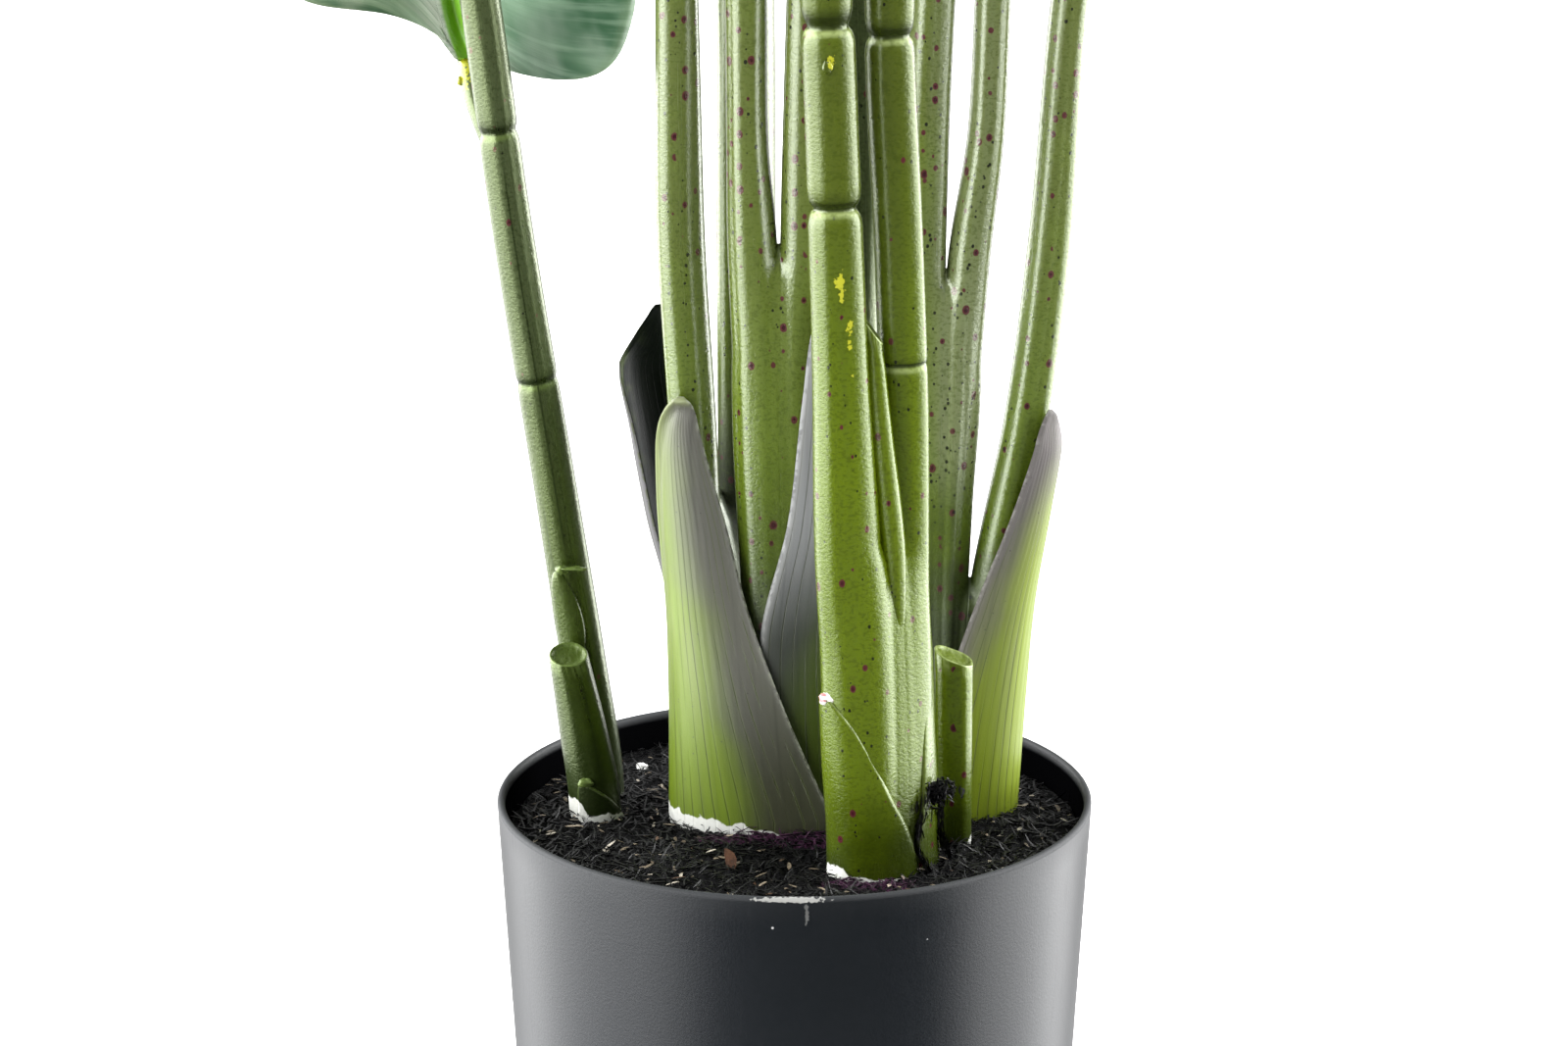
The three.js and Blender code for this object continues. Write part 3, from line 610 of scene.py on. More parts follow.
# Moulding below a crotch. Half depth at a place across is the rounded greatest of the lobes'
# and webs' ellipses: the root of order "blend" of the sum of their powers
def mouldGrid(spec, first, last, z, turn, seed):
    lobes = [turned(spec["lobes"][k], z, turn) for k in range(first, last + 1)]
    left, right = [[a + side * w for a, _, w, _ in lobes] for side in (-1, 1)]
    webs = []
    for web in websWithin(spec, first, last):
        a, deep, w, h = turned(web["rows"], z, turn)
        h = h * np.sqrt(np.clip((web["crotch"] - z[:, None]) / moulding["webRound"], 0, 1))
        webs.append((a, deep, w, h))
        start, end = [k - first for k in web["over"]]
        left[start] = np.where(h > 0, np.minimum(left[start], a - w), left[start])
        right[end] = np.where(h > 0, np.maximum(right[end], a + w), right[end])
    for k in range(last - first):
        middle = (right[k] + left[k + 1]) / 2
        gap = np.maximum((left[k + 1] - right[k]) / 2, moulding["leastGap"])
        right[k], left[k + 1] = middle - gap, middle + gap
    blend = moulding["blend"]
    angle = np.pi - np.pi * np.arange(moulding["columns"] + 1) / moulding["columns"]
    parts = []
    for k, (_, deep, halfWidth, halfDepth) in enumerate(lobes):
        u = left[k] + (right[k] - left[k]) * (1 + np.cos(angle)) / 2
        total = np.zeros_like(u)
        for a, _, w, h in lobes + webs:
            bulge = np.clip(1 - ((u - a) / w) ** 2, 0, None)
            total += (np.sqrt(bulge) * h) ** blend
        way = unit(np.stack([halfWidth * np.cos(angle), halfDepth * np.sin(angle)], -1))
        skins = []
        for side in (1, -1):
            place = (first + k, side * angle, z[:, None], halfWidth, halfDepth)
            skins.append(reliefAt(spec, *place, seed + first + k)[..., None] * way)
        parts.append((u, total ** (1 / blend), deep + 0 * u, *skins))
    u, depth, own, back, front = [np.concatenate(part, 1) for part in zip(*parts)]
    joined = own
    for (a, deep, *_), (b, nextDeep, *_) in zip(lobes, lobes[1:]):
        t = np.clip((u - a) / (b - a), 0, 1)
        joined = np.where((u >= a) & (u <= b), deep * (1 - t) + nextDeep * t, joined)
    share = ease(z[-1] - z, 2, 30)[:, None]
    middle = own * (1 - share) + joined * share
    lower = (middle - depth - front[..., 1])[:, -2:0:-1]
    deep = np.concatenate([middle + depth + back[..., 1], lower], 1)
    across = np.concatenate([u + back[..., 0], (u + front[..., 0])[:, -2:0:-1]], 1)
    values = {"grain": placed(across, deep, z[:, None], 0) * mm}
    return placed(across, deep, z[:, None], turn), values


# Cut end of a stub: a rounded rim and a slightly sunk face
cutFace = {
    "shares": [1, 0.97, 0.9, 0.84, 0.6, 0.3], "lifts": [0, 0.35, 0.42, 0.0, -0.45, -0.55],
    "pale": [0.5, 0.9, 1, 0.6, 0.4, 0.35], "cut": [0, 0.2, 0.6, 1, 1, 1],
}


# Whole stem: one moulding up to the lowest crotch, then each side on its own, up to the tips
def stemPatches(spec, seed):
    turn = math.radians(spec["turn"])
    patches = []

    def build(first, last, low):
        rows = spec["lobes"][first]
        web = min(websWithin(spec, first, last), key=lambda web: web["crotch"], default=None)
        rings = [] if web else spec.get("rings", {}).get(first, [])
        start, levelTo = (rows[0][0], moulding["rootTop"]) if low is None else (low, low)
        high = web["crotch"] if web else rows[-1][0]
        z = heightsFor(start, high, rings, web is not None)
        if low is None:
            z = np.concatenate([[start], z[z >= moulding["rootTop"]]])
        if web:
            points, values = mouldGrid(spec, first, last, z, turn, seed)
        else:
            levelTo = high if "cut" in spec else levelTo
            points, values, direction = petioleGrid(spec, first, z, turn, rings, levelTo, seed)
            facing, lid = direction[-1], {}
        if "cut" in spec:
            tiltX, tiltY = spec["cut"]
            lift = tiltX * (points[-1, :, 0] - rows[-1][1]) + tiltY * (points[-1, :, 1] - rows[-1][2])
            points[..., 2] += ease(z, z[-1] - moulding["cutOver"], z[-1])[:, None] * lift
            facing, lid = unit(up - [tiltX, tiltY, 0]), cutFace
        patches.append(gridPatch(points, True, **values))
        if web:
            build(first, web["after"], high)
            build(web["after"] + 1, last, high)
        else:
            patches.append(lidPatch(points[-1], facing, **lid))
        if low is None:
            patches.append(lidPatch(points[0][::-1], -up))

    build(0, len(spec["lobes"]) - 1, None)
    return patches


# Tubes that grow out of a stem: the low leaf's stalk, and a petiole cut off between two others.
# The low leaf starts from a row of its own, inside the stalk's end
branches = {
    "stem_left": {
        "leafFrom": [399, -102, 37, 3.7, 3.7],
        "lobes": [[
            [362, -87, 19, 2.6, 2.6], [366, -89.5, 21, 3.6, 3.6], [384, -98.5, 29, 3.3, 3.3],
            [392, -101, 34, 3.5, 3.5], [401, -102.3, 38, 3.7, 3.7],
        ]],
    },
    "stem_front": {
        "cut": (-1.3, 0),
        "lobes": [[
            [220, 30.4, -36.6, 2.4, 3], [234, 30.3, -39, 3, 4.2], [248, 30, -40, 3.5, 4.8],
            [262, 29.3, -40.4, 3.9, 5.1], [276, 27.8, -40.7, 4.1, 5.2], [295, 25.6, -41, 3.9, 5],
            [315, 23.6, -41, 3.7, 4.8], [331, 22.4, -41, 3.4, 4.6],
        ]],
    },
}


# Rows and columns of the small patches on the stems
patchGrids = {"scale": (22, 17), "knob": (12, 18), "hug": (56, 61)}


# Small raised scale on a stem: a pointed patch that follows the stem's round at a height from low
# to high, thickest in its middle line and thin at its edges
def scalePatch(rows, low, high, facing, reach, lift, pale):
    t, w = [np.linspace(start, 1, n) for start, n in zip((0, -1), patchGrids["scale"])]
    t = t[:, None]
    z = low + (high - low) * t
    x, y, halfWidth, halfDepth = rowsAt(rows, z[:, 0]).T[..., None]
    angle = np.radians(facing) + np.sin(np.pi * t**0.8) ** 0.6 * reach * w
    out = lift * np.sqrt(np.clip(1 - w**2, 0, 1)) * ease(1 - t, 0, 0.06) * (0.35 + 0.65 * t)
    shell = ellipseShell(x, y, halfWidth, halfDepth, angle, z, 0)
    shade = np.full(angle.shape, pale)
    return sheetPatch(shell(out + 0.05), shell(-0.8), grain=shell(0) * mm, pale=shade)


# Points on an ellipse at angles round it, standing off it by a distance
def ellipseShell(x, y, halfWidth, halfDepth, angle, z, turn):
    def shell(off):
        across, deep = (halfWidth + off) * np.cos(angle), (halfDepth + off) * np.sin(angle)
        return placed(across, deep, z, turn, x, y)

    return shell


# Knob of moulding flash: a rounded lump, squashed by its three half sizes and dented by waves
def knobPatch(centre, sizes, seed, **values):
    rows, columns = patchGrids["knob"]
    t = np.linspace(np.pi, 0, rows)[1:-1, None]
    a = np.linspace(0, 2 * np.pi, columns, endpoint=False)
    dent = 1 + 0.16 * np.sin(3 * a + seed) * np.sin(t) + 0.12 * np.sin(2 * a - 5 * t + 2 * seed)
    ball = np.stack([np.sin(t) * np.cos(a), np.sin(t) * np.sin(a), np.cos(t) + 0 * a], -1)
    points = np.array(centre) + ball * dent[..., None] * np.array(sizes)
    full = {name: np.full(dent.shape, v) for name, v in values.items()}
    patch = gridPatch(points, True, grain=points * mm, **full)
    count = len(patch["points"])
    ends = np.arange(columns)
    foot = np.stack([ends, np.roll(ends, -1), np.full(columns, count)], -1)
    head = np.stack([np.roll(ends, -1), ends, np.full(columns, columns + 1)], -1) + count - columns
    patch["points"] = np.concatenate([patch["points"], [points[0].mean(0), points[-1].mean(0)]])
    patch["tris"] = np.concatenate([foot, head])
    patch["values"] = {n: np.concatenate([v, v[:1], v[-1:]]) for n, v in patch["values"].items()}
    return patch


# Shells that hug a stem's foot. Rows are height and the two angles that a shell runs between,
# measured round the ellipse of its web, or else of its lobe, from its left end towards the front
hugs = {
    "pocket": {
        "stem": "stub_left", "thickness": 1.5, "pale": 0.85, "dark": 0.75,
        "rows": [
            [150, 48, 178], [157, 52, 174], [160, 54, 163], [163, 55, 146], [166, 56, 127],
            [168.5, 58, 108], [170.4, 61, 90], [171.6, 68, 78],
        ],
    },
    "wrap": {
        "stem": "stem_front", "thickness": 0.95, "pale": 0.45, "dark": 0,
        "rows": [
            [150, -60, 111], [158, -60, 108], [161.2, -60, 105], [173.7, -60, 93.4], [183.5, -60, 80],
            [194.3, -60, 66], [205.4, -52, 48], [212, -40, 31], [216.3, -22, 13], [218, -10, -2],
        ],
    },
    "flange": {
        "stem": "stem_front", "thickness": 0.6, "pale": 0.15, "dark": 0,
        "rows": [
            [150, 100, 182], [166, 103, 182], [180, 114, 182], [198, 121, 182], [217, 129, 180],
            [232, 141, 176], [241, 156, 166],
        ],
    },
}


# A shell's stand-off rises from nothing at its edges as the root of the distance from them
def hugPatch(name):
    spec = hugs[name]
    stem = stems[spec["stem"]]
    around = stem["webs"][0]["rows"] if "webs" in stem else stem["lobes"][0]
    bottom, top = spec["rows"][0][0], spec["rows"][-1][0]
    rows, columns = patchGrids["hug"]
    z = bottom + (top - bottom) * np.sin(np.linspace(0, np.pi / 2, rows))
    start, end = rowsAt(spec["rows"], z).T[..., None]
    x, y, halfWidth, halfDepth = rowsAt(around, z).T[..., None]
    z = z[:, None]
    across = np.linspace(0, 1, columns)
    angle = np.radians(180 + start + (end - start) * across)
    arc = np.radians(end - start) * np.hypot(halfWidth * np.sin(angle), halfDepth * np.cos(angle))
    fromEdge = np.minimum(np.minimum(arc * across, arc * (1 - across)), (top - z) * 0.8)
    fromEdge = fromEdge + 0.12 * np.sin(z * 0.9) * np.sin(z * 0.37) * ease(fromEdge, 0, 0.5)
    stand = spec["thickness"] * np.sqrt(np.clip(fromEdge / 1.1, 0, 1))
    shell = ellipseShell(x, y, halfWidth, halfDepth, angle, z, math.radians(stem["turn"]))
    pale = spec["pale"] * bell(fromEdge, 0.3, 0.35)
    dark = spec["dark"] * ease(fromEdge, 0.5, 1.1)
    return sheetPatch(shell(stand), shell(-0.6), grain=shell(0) * mm, pale=pale, dark=dark)


# Sheaths. Rows are height, centre x and y, outer half width and depth, and the two angles that
# the wall runs between, with 270 facing the front. The rim stands out, and ribs run in lines
sheaths = {
    "sheath_left": {
        "rim": 0.85, "rib": 0.05, "lines": 17,
        "rows": [
            [162, -6, 10, 34.5, 18, 165, 303], [200, -16, 11, 24.4, 17.9, 165, 301],
            [230, -24, 12, 17.2, 15, 166, 304], [260, -30, 12, 12.8, 12, 172, 309],
            [280, -32.5, 12, 10.7, 10.9, 182, 298], [288, -33, 12, 10.2, 10.6, 196, 290],
            [293.5, -33, 12, 10.1, 10.5, 213, 283], [297.6, -33, 12, 9.9, 10.4, 233, 273],
            [299.5, -33, 12, 9.8, 10.4, 250, 260],
        ],
    },
    "sheath_right": {
        "rim": 0.2, "rib": 0.04, "lines": 15,
        "rows": [
            [162, 52, 20, 21, 16.5, 232, 380], [200, 58, 18, 17, 14, 232, 378],
            [230, 63, 16, 14.2, 12, 245, 376], [260, 69.5, 15, 12.2, 11, 264, 370],
            [280, 73.2, 14.3, 11.4, 10.2, 278, 358], [287, 73.5, 14.2, 11.1, 10.1, 286, 344],
            [291.8, 73.5, 14, 10.9, 10, 297, 328], [294.2, 73.5, 14, 10.8, 10, 306, 314],
        ],
    },
    "sheath_centre": {
        "rim": 0.1, "rib": 0.02, "lines": 12,
        "rows": [
            [162, 0, 31.2, 40, 33, 256, 323], [221, 0, 31.2, 40, 33, 254, 319],
            [260, 3, 31.2, 37, 33, 262, 315], [300, 6, 31.2, 34, 33, 264, 306],
            [325, 8, 31.2, 32, 33, 267, 296], [338, 9, 31.2, 31, 33, 280, 284],
        ],
    },
    "sheath_back": {
        "rim": 0.3, "rib": 0.02, "lines": 12,
        "rows": [
            [162, -25, 25, 13.5, 14, 80, 190], [226, -26, 26, 15, 14.5, 84, 212],
            [252, -29, 27, 18.2, 15, 92, 209], [269, -31, 27.5, 19.4, 15, 96, 206],
            [285, -33, 28, 20.1, 15, 100, 201], [298, -34, 28.5, 21.7, 15, 103, 192],
            [303.5, -34.3, 29, 21.7, 14.8, 104, 181], [306, -34.3, 29, 21.7, 14.7, 105, 163],
            [310, -34.3, 29, 21.7, 14.6, 106, 146], [316, -34.3, 29, 21.7, 14.5, 108, 129.5],
            [320.4, -34.3, 29, 21.7, 14.4, 112, 118.5],
        ],
    },
}

# Walls start at the root. The rolled rim and the hollow behind it have a distance from the edge
# and a width, and both rise between heights; the rim's colour does between its own
sheathMake = {
    "root": 128, "rows": 90, "columns": 56, "thickness": 1.3, "edge": 0.45, "roll": (1.4, 1.2),
    "hollow": (4.8, 1.7), "rollHeights": (205, 262), "rimHeights": (190, 250),
}


# Wall of a sheath: ellipse arcs between two angles at each height, closer together towards the
# tip; the wall thins at its free edges and a rolled rim stands out just inside them
def sheathPatch(spec):
    rows = spec["rows"]
    bottom, top = rows[0][0], rows[-1][0]
    z = bottom + (top - bottom) * np.sin(np.linspace(0, np.pi / 2, sheathMake["rows"]))
    values = rowsAt(rows, z)
    z = np.concatenate([[sheathMake["root"]], z])[:, None]
    x, y, halfWidth, halfDepth, start, end = np.concatenate([values[:1], values]).T[..., None]
    across = np.linspace(0, 1, sheathMake["columns"])
    angle = np.radians(start + (end - start) * across)
    arc = np.radians(end - start) * np.hypot(halfWidth * np.sin(angle), halfDepth * np.cos(angle))
    fromTip = (top - z) * 0.8
    fromEdge = np.minimum(np.minimum(arc * across, arc * (1 - across)), fromTip)
    rolled = np.minimum(arc * across, fromTip * 1.2)
    roll = bell(rolled, *sheathMake["roll"]) - 0.45 * bell(rolled, *sheathMake["hollow"])
    roll = spec["rim"] * roll * ease(z, *sheathMake["rollHeights"])
    ribs = np.sin(2 * np.pi * spec["lines"] * across + 1.3 * np.sin(z / 23))
    out = roll + spec["rib"] * ribs * ease(fromEdge, 0, 3) - 0.35 * (1 - ease(fromEdge, 0, 1.1))
    wall = sheathMake["edge"] + (sheathMake["thickness"] - sheathMake["edge"]) * ease(fromEdge, 0, 2)
    shell = ellipseShell(x, y, halfWidth, halfDepth, angle, z, 0)
    values = {
        "grain": placed(arc * (across - 0.5), z, 0, 0) * mm,
        "edge": bell(fromEdge, 0, 0.8) * ease(z, bottom - 5, bottom + 8),
        "rim": bell(rolled, 1.0, 1.5) * ease(z, *sheathMake["rimHeights"]),
        "side": across * spec["lines"] + 0 * arc,
    }
    return sheetPatch(shell(out), shell(out - wall), **values)


# Leaves: length, greatest half width, heading and tip angle, roll, how far the base's left and
# right lobes are drawn up, a bow of the line to the left, waves of the edge and their start; and
# the stem and lobe that each one grows from
leafSize = ("length", "halfWidth", "heading", "tip", "roll", "left", "right", "bow", "waves", "phase")
leaves = {
    "leaf_01": ((285, 59.5, 92, 24, 4, 19, -11.5, 5, 3, 0.4), "stem_left", None),
    "leaf_02": ((360, 74, 190, -28, -6, 4, -4, 0, 4, 1.1), "stem_left", 0),
    "leaf_03": ((420, 80, 136, -18, 5, -4, 4, 0, 4, 2.3), "stem_mid_left", 0),
    "leaf_04": ((400, 78, 104, -24, -4, 5, -5, 0, 5, 0.2), "stem_mid_left", 1),
    "leaf_05": ((430, 82, 226, -6, -6, -4, 4, 0, 4, 3.1), "stem_centre", 0),
    "leaf_06": ((430, 80, 14, 34, -5, 4, -4, 0, 4, 1.9), "stem_centre", 1),
    "leaf_07": ((430, 82, 62, -10, 4, -5, 5, 0, 5, 4.4), "stem_back", 0),
    "leaf_08": ((370, 74, 250, -22, -5, 4, -4, 0, 4, 0.9), "stem_front", 0),
    "leaf_09": ((400, 78, 292, -16, 6, 5, -5, 0, 4, 2.8), "stem_front", 1),
    "leaf_10": ((390, 76, 28, -26, -6, -4, 4, 0, 4, 5.2), "stem_right", 0),
    "leaf_11": ((420, 80, 338, -12, 5, 4, -4, 0, 5, 3.6), "stem_right", 1),
    "leaf_12": ((360, 74, 2, -30, -4, -4, 4, 0, 4, 1.5), "stem_right", 2),
}

# Grid and section of every leaf: rows and columns, steps of its line and their crowding to the
# base, the blade's fold, droop and waves, its thickness and edge, the pleats' height, spacing and
# slant, the outline's powers, and the midrib's taper, margin, depth at the tip, channel and ridge
leafMake = {
    "rows": 96, "columns": 30, "steps": 15, "crowding": 1.45, "fold": 0.34, "droop": 0.42,
    "wave": 5.5, "blade": 0.95, "edge": 0.5, "pleat": 0.55, "pleatSpacing": 19, "slant": 0.3,
    "outline": (0.22, 0.62), "ribTaper": 0.75, "margin": 1.2, "tipDepth": 1.8, "channel": 0.55,
    "ridge": 0.5, "notch": 4, "nick": 0.7,
}


# Half width of the blade at a share of its length, 1 at its widest: a power of the share rounds
# the base and a power of what is left draws in the tip
def leafOutline(s):
    early, late = leafMake["outline"]
    widest = early / (early + late)
    return (s / widest) ** early * ((1 - s) / (1 - widest)) ** late


# Line of a leaf: it starts on its petiole's end and turns evenly from the petiole's direction to
# that of its tip. Gives shares of its length, its points and its axes along, left and up
def leafLine(spec, rows):
    top = rows[-1][0]
    endX, endY, _, ribDepthHalf = rowsAt(rows, np.array([top]))[0]
    start = directionAt(rows, np.array([top]))[0]
    heading, tip, roll = [math.radians(spec[key]) for key in ("heading", "tip", "roll")]
    level = np.array([math.cos(heading), math.sin(heading), 0])
    finishLine = level * math.cos(tip) + up * math.sin(tip)
    sideways = np.cross(up, level)

    def axesAt(s):
        direction = unit(start * (1 - s)[:, None] + finishLine * s[:, None])
        side = unit(sideways - (direction @ sideways)[:, None] * direction)
        side = side * math.cos(roll) + np.cross(direction, side) * math.sin(roll)
        return direction, side, np.cross(direction, side)

    coarse = np.linspace(0, 1, spec["steps"] + 1) ** spec["crowding"]
    direction, _, normal = axesAt(coarse)
    first = np.array([endX, endY, top]) + start * 0.35 + normal[0] * ribDepthHalf
    steps = direction * (spec["length"] * np.diff(coarse, prepend=0))[:, None]
    line = np.column_stack([coarse, first + np.cumsum(steps, 0)])
    s = np.linspace(0, 1, spec["rows"]) ** spec["crowding"]
    s = np.concatenate([[0], s[1] * np.linspace(0.2, 0.9, 8) ** 4.5, s[1:]])
    return s[:, None], rowsAt(line, s), axesAt(s)


# Leaf that carries on from its petiole: across its line the blade folds up from the midrib and
# droops again in a parabola
def leafPatch(size, rows):
    spec = {**leafMake, **dict(zip(leafSize, size))}
    *_, ribHalf, ribDepthHalf = rowsAt(rows, np.array([rows[-1][0]]))[0]
    s, middle, (direction, side, normal) = leafLine(spec, rows)
    rib = ribHalf * (1 - spec["ribTaper"] * s)
    ribDepth = 2 * ribDepthHalf * (1 - s) + spec["tipDepth"] * s
    blade = spec["margin"] * (1 - 0.6 * s) + spec["halfWidth"] * leafOutline(np.minimum(s, 0.998))
    t = np.linspace(-1, 1, 2 * spec["columns"] + 1)
    across = np.sign(t) * np.abs(t) ** 1.35 * (rib + blade)
    away, along = np.abs(across), s * spec["length"]
    share = np.clip(away / spec["halfWidth"], 0, 1)
    phase = 2 * np.pi * spec["waves"] * s + spec["phase"] + np.sign(across)
    lift = spec["halfWidth"] * share * (spec["fold"] - spec["droop"] * share)
    lift = lift + spec["wave"] * share**2 * np.sin(phase)
    beyond = np.maximum(away - ribHalf - spec["margin"], 0)
    drawn = np.tanh((beyond + 4 * ease(beyond, 0, 1)) / 20)
    drawn = drawn * np.where(across > 0, spec["left"], spec["right"]) * (1 - s) ** 4
    vein = along - spec["slant"] * (0.1 + 0.9 * ease(s, 0.05, 0.3)) * away - 1.5 * drawn
    out = ease(away, rib, rib + 12) * ease(s, 0.98, 0.9)
    pleat = np.sin(2 * np.pi * vein / spec["pleatSpacing"] + 1.7 * np.sin(vein / 37))
    channel = spec["channel"] * rib
    channel = channel * bell(across, 0, channel) * ease(s, 0, 0.05)
    ridge = spec["ridge"] * bell(away, rib, spec["margin"]) * (1 - s)
    lift = lift + spec["pleat"] * pleat * out - channel * ease(s, 1, 0.6) + ridge
    shift = drawn - spec["notch"] * share**2 * (1 - s) ** 8
    bow = spec["bow"] * (1 - np.exp(-along / 16))
    nick = spec["nick"] * np.sin(along / 5.3 + 2 * t) * np.sin(along / 13.7 + t)
    nick = nick * ease(np.abs(t), 0.9, 1) * ease(s, 0.02, 0.1) * ease(s, 1, 0.97)
    inRib = np.clip(away / rib, 0, 1)
    across = across + np.sign(t) * nick
    thick = spec["edge"] + (spec["blade"] - spec["edge"]) * ease(1 - np.abs(t), 0, 0.3)
    thick = thick + np.maximum(ribDepth - channel - thick, 0) * np.sqrt(1 - inRib**2)

    def face(height):
        parts = ((side, across + bow), (normal, height), (direction, shift))
        return middle[:, None] + sum(axis[:, None] * by[..., None] for axis, by in parts)

    values = {
        "grain": placed(across, vein, along, 0) * mm,
        "pale": np.exp(-((np.abs(across) / (rib * 1.05 + 0.3)) ** 4)),
        "edge": ease(np.abs(t), 0.93, 1) + 0 * across,
    }
    return sheetPatch(face(lift), face(lift - thick), **values)


# Soil: swells and crumbs on a round grid inside the pot, in millimetres. Slivers have a count, the
# limits of their rise, length, thickness, flatness and arch, and the spread of their tilt
soil = {
    "top": 158, "relief": 1.1, "rim": 95, "crumb": 0.8, "rings": 70, "sides": 190, "floor": 3.4,
    "disc": 90,
    "fibres": (6000, (-0.1, 1.5), (2.5, 9), (0.18, 0.5), (0.4, 1), (-0.25, 0.25), 0.3),
    "chips": (330, (0.5, 1.5), (1.8, 5.2), (0.3, 0.85), (0.3, 0.6), (-0.1, 0.1), 0.25),
    "pebble": (-51, 55, 159.2),
    # place, length, thickness, flatness, arch, tilt, heading and tone of the brown flake
    "flake": (-20.2, -37, 160.3, 10, 2.1, 0.22, 0.1, 0.62, 1.75, 0.5),
}
# Pot, in millimetres. Rows are those of its outside, rim and inside. Foot is its outline up to
# where the straight side begins
pot = {
    "height": 170, "rimRadius": 95, "footRadius": 86, "wall": 2.4, "floor": 3, "sides": 168,
    "gap": 0.35, "lip": 1.2, "rows": (22, 11, 8),
    "foot": [(0.01, 0), (40, 0), (82, 0), (84.9, 0.15), (85.8, 0.7), (86.1, 1.6)],
}


# Radius at a height, on the straight line from the foot to the rim
def potRadius(z):
    return pot["footRadius"] + (pot["rimRadius"] - pot["footRadius"]) * z / pot["height"]


# Two crossed swells, flat at the pot's wall, and crumbs from products of short waves
def soilHeight(x, y):
    swell = np.sin(0.09 * x + 1.3) * np.sin(0.075 * y + 0.97)
    swell = swell + 0.4 * np.sin(0.13 * x) * np.sin(0.11 * y + 0.4)
    flat = np.clip(np.hypot(x, y) / soil["rim"], 0, 1) ** 4
    crumbs = np.sin(1.1 * x + 0.7 * y) * np.sin(0.9 * y - 0.5 * x + 1)
    crumbs = crumbs + 0.7 * np.sin(2.3 * x - 1.1 * y + 2) * np.sin(2.1 * y + 0.8 * x)
    return soil["top"] + soil["relief"] * swell * (1 - flat) + soil["crumb"] * crumbs


# Bed: rings round the axis, closer together outwards, down to a narrower ring on the pot's floor
def soilPatches():
    a = np.linspace(0, 2 * np.pi, soil["sides"], endpoint=False)
    inside = [potRadius(z) - pot["wall"] - pot["gap"] for z in (soil["top"], soil["floor"])]
    r = inside[0] * np.sqrt(np.linspace(1, 0.0004, soil["rings"]))[:, None]
    x, y = r * np.cos(a), r * np.sin(a)
    bed = np.stack([x, y, soilHeight(x, y)], -1)
    low = placed(inside[1] * np.cos(a), inside[1] * np.sin(a), soil["floor"], 0)[None]
    lids = [lidPatch(bed[-1], up, (1, 0.5)), lidPatch(low[0][::-1], -up, (1, 0.5))]
    return [gridPatch(np.concatenate([low, bed[:1]]), True), gridPatch(bed, True), *lids]


# Shreds: three-sided slivers carried along short bent lines, all worked out together. Each has a
# place, length, thickness, flatness, arch, tilt, heading and tone
def shredPatch(*sizes):
    x, y, z, length, thick, flat, arch, tilt, heading, tone = [v[:, None] for v in sizes]
    t = np.linspace(-0.5, 0.5, 5)
    along = length * t
    bend = arch * length * (4 * t**2 - 0.35)
    rise = z + along * np.sin(tilt) - bend * 0.6
    along = along * np.cos(tilt)
    c, s = np.cos(heading), np.sin(heading)
    px, py = x + along * c - bend * s, y + along * s + bend * c
    taper = (1 - 0.75 * np.abs(2 * t) ** 2.5) * thick
    angle = 2 * np.pi * np.arange(3) / 3 + 0.5
    wide = np.cos(angle) * taper[..., None]
    high = np.sin(angle) * (taper * flat)[..., None]
    px, py, rise, c, s = [v[..., None] for v in (px, py, rise, c, s)]
    points = np.stack([px - wide * s, py + wide * c, rise + high], -1)
    index = np.arange(points[..., 0].size).reshape(points.shape[:3])
    around = np.roll(index, -1, 2)
    quads = np.stack([index[:, :-1], around[:, :-1], around[:, 1:], index[:, 1:]], -1)
    return {
        "points": points.reshape(-1, 3),
        "quads": quads.reshape(-1, 4),
        "tris": np.concatenate([index[:, 0, ::-1], index[:, -1]]),
        "values": {"tone": np.repeat(tone, index[0].size, 0)},
    }


# Random values between each pair of limits
def drawn(count, limits):
    return [dice.uniform(low, high, count) for low, high in limits]


# Places on the soil, evenly over the disc
def soilPlaces(count):
    r = soil["disc"] * np.sqrt(dice.uniform(0, 1, count))
    a = dice.uniform(0, 2 * np.pi, count)
    return r * np.cos(a), r * np.sin(a)


# Fibres of dark tones, paler chips, a white pebble and the brown flake, all on the soil
def litterPatches():
    tones = {
        "fibres": lambda count: dice.beta(1, 6, count) * 0.5,
        "chips": lambda count: dice.uniform(0.5, 0.88, count),
    }
    made = []
    for key, tone in tones.items():
        count, rise, *limits, tilt = soil[key]
        x, y = soilPlaces(count)
        z = soilHeight(x, y) + dice.uniform(*rise, count)
        sizes = drawn(count, limits)
        turns = dice.normal(0, tilt, count), dice.uniform(0, 2 * np.pi, count)
        made.append(shredPatch(x, y, z, *sizes, *turns, tone(count)))
    pebble = knobPatch(soil["pebble"], (1.9, 1.7, 1.4), 0.7, tone=1.0)
    return [*made, pebble, shredPatch(*np.reshape(soil["flake"], (-1, 1)))]


# Tuft of black fibre caught on the front stem's flange: a tangle, and strands down two legs.
# Limits are those of length, thickness, flatness and arch
tuft = {
    "tangle": {
        "count": 300, "centre": (44, -37.5, 183.2), "spread": (2.9, 1.0, 1.5),
        "limits": [(1.6, 4.2), (0.25, 0.6), (0.5, 1), (-0.35, 0.35)],
    },
    "legs": [
        (120, [(0, 40.3, -41, 183), (1, 38.2, -43, 169), (2, 41, -42.6, 160), (3, 42, -42, 156.5)]),
        (90, [(0, 45, -36, 181), (1, 45.6, -34, 172), (2, 46.5, -33, 165), (3, 48.5, -31, 160)]),
    ],
    "spread": 0.75, "limits": [(3, 7), (0.2, 0.5), (0.5, 1), (-0.15, 0.15)],
}


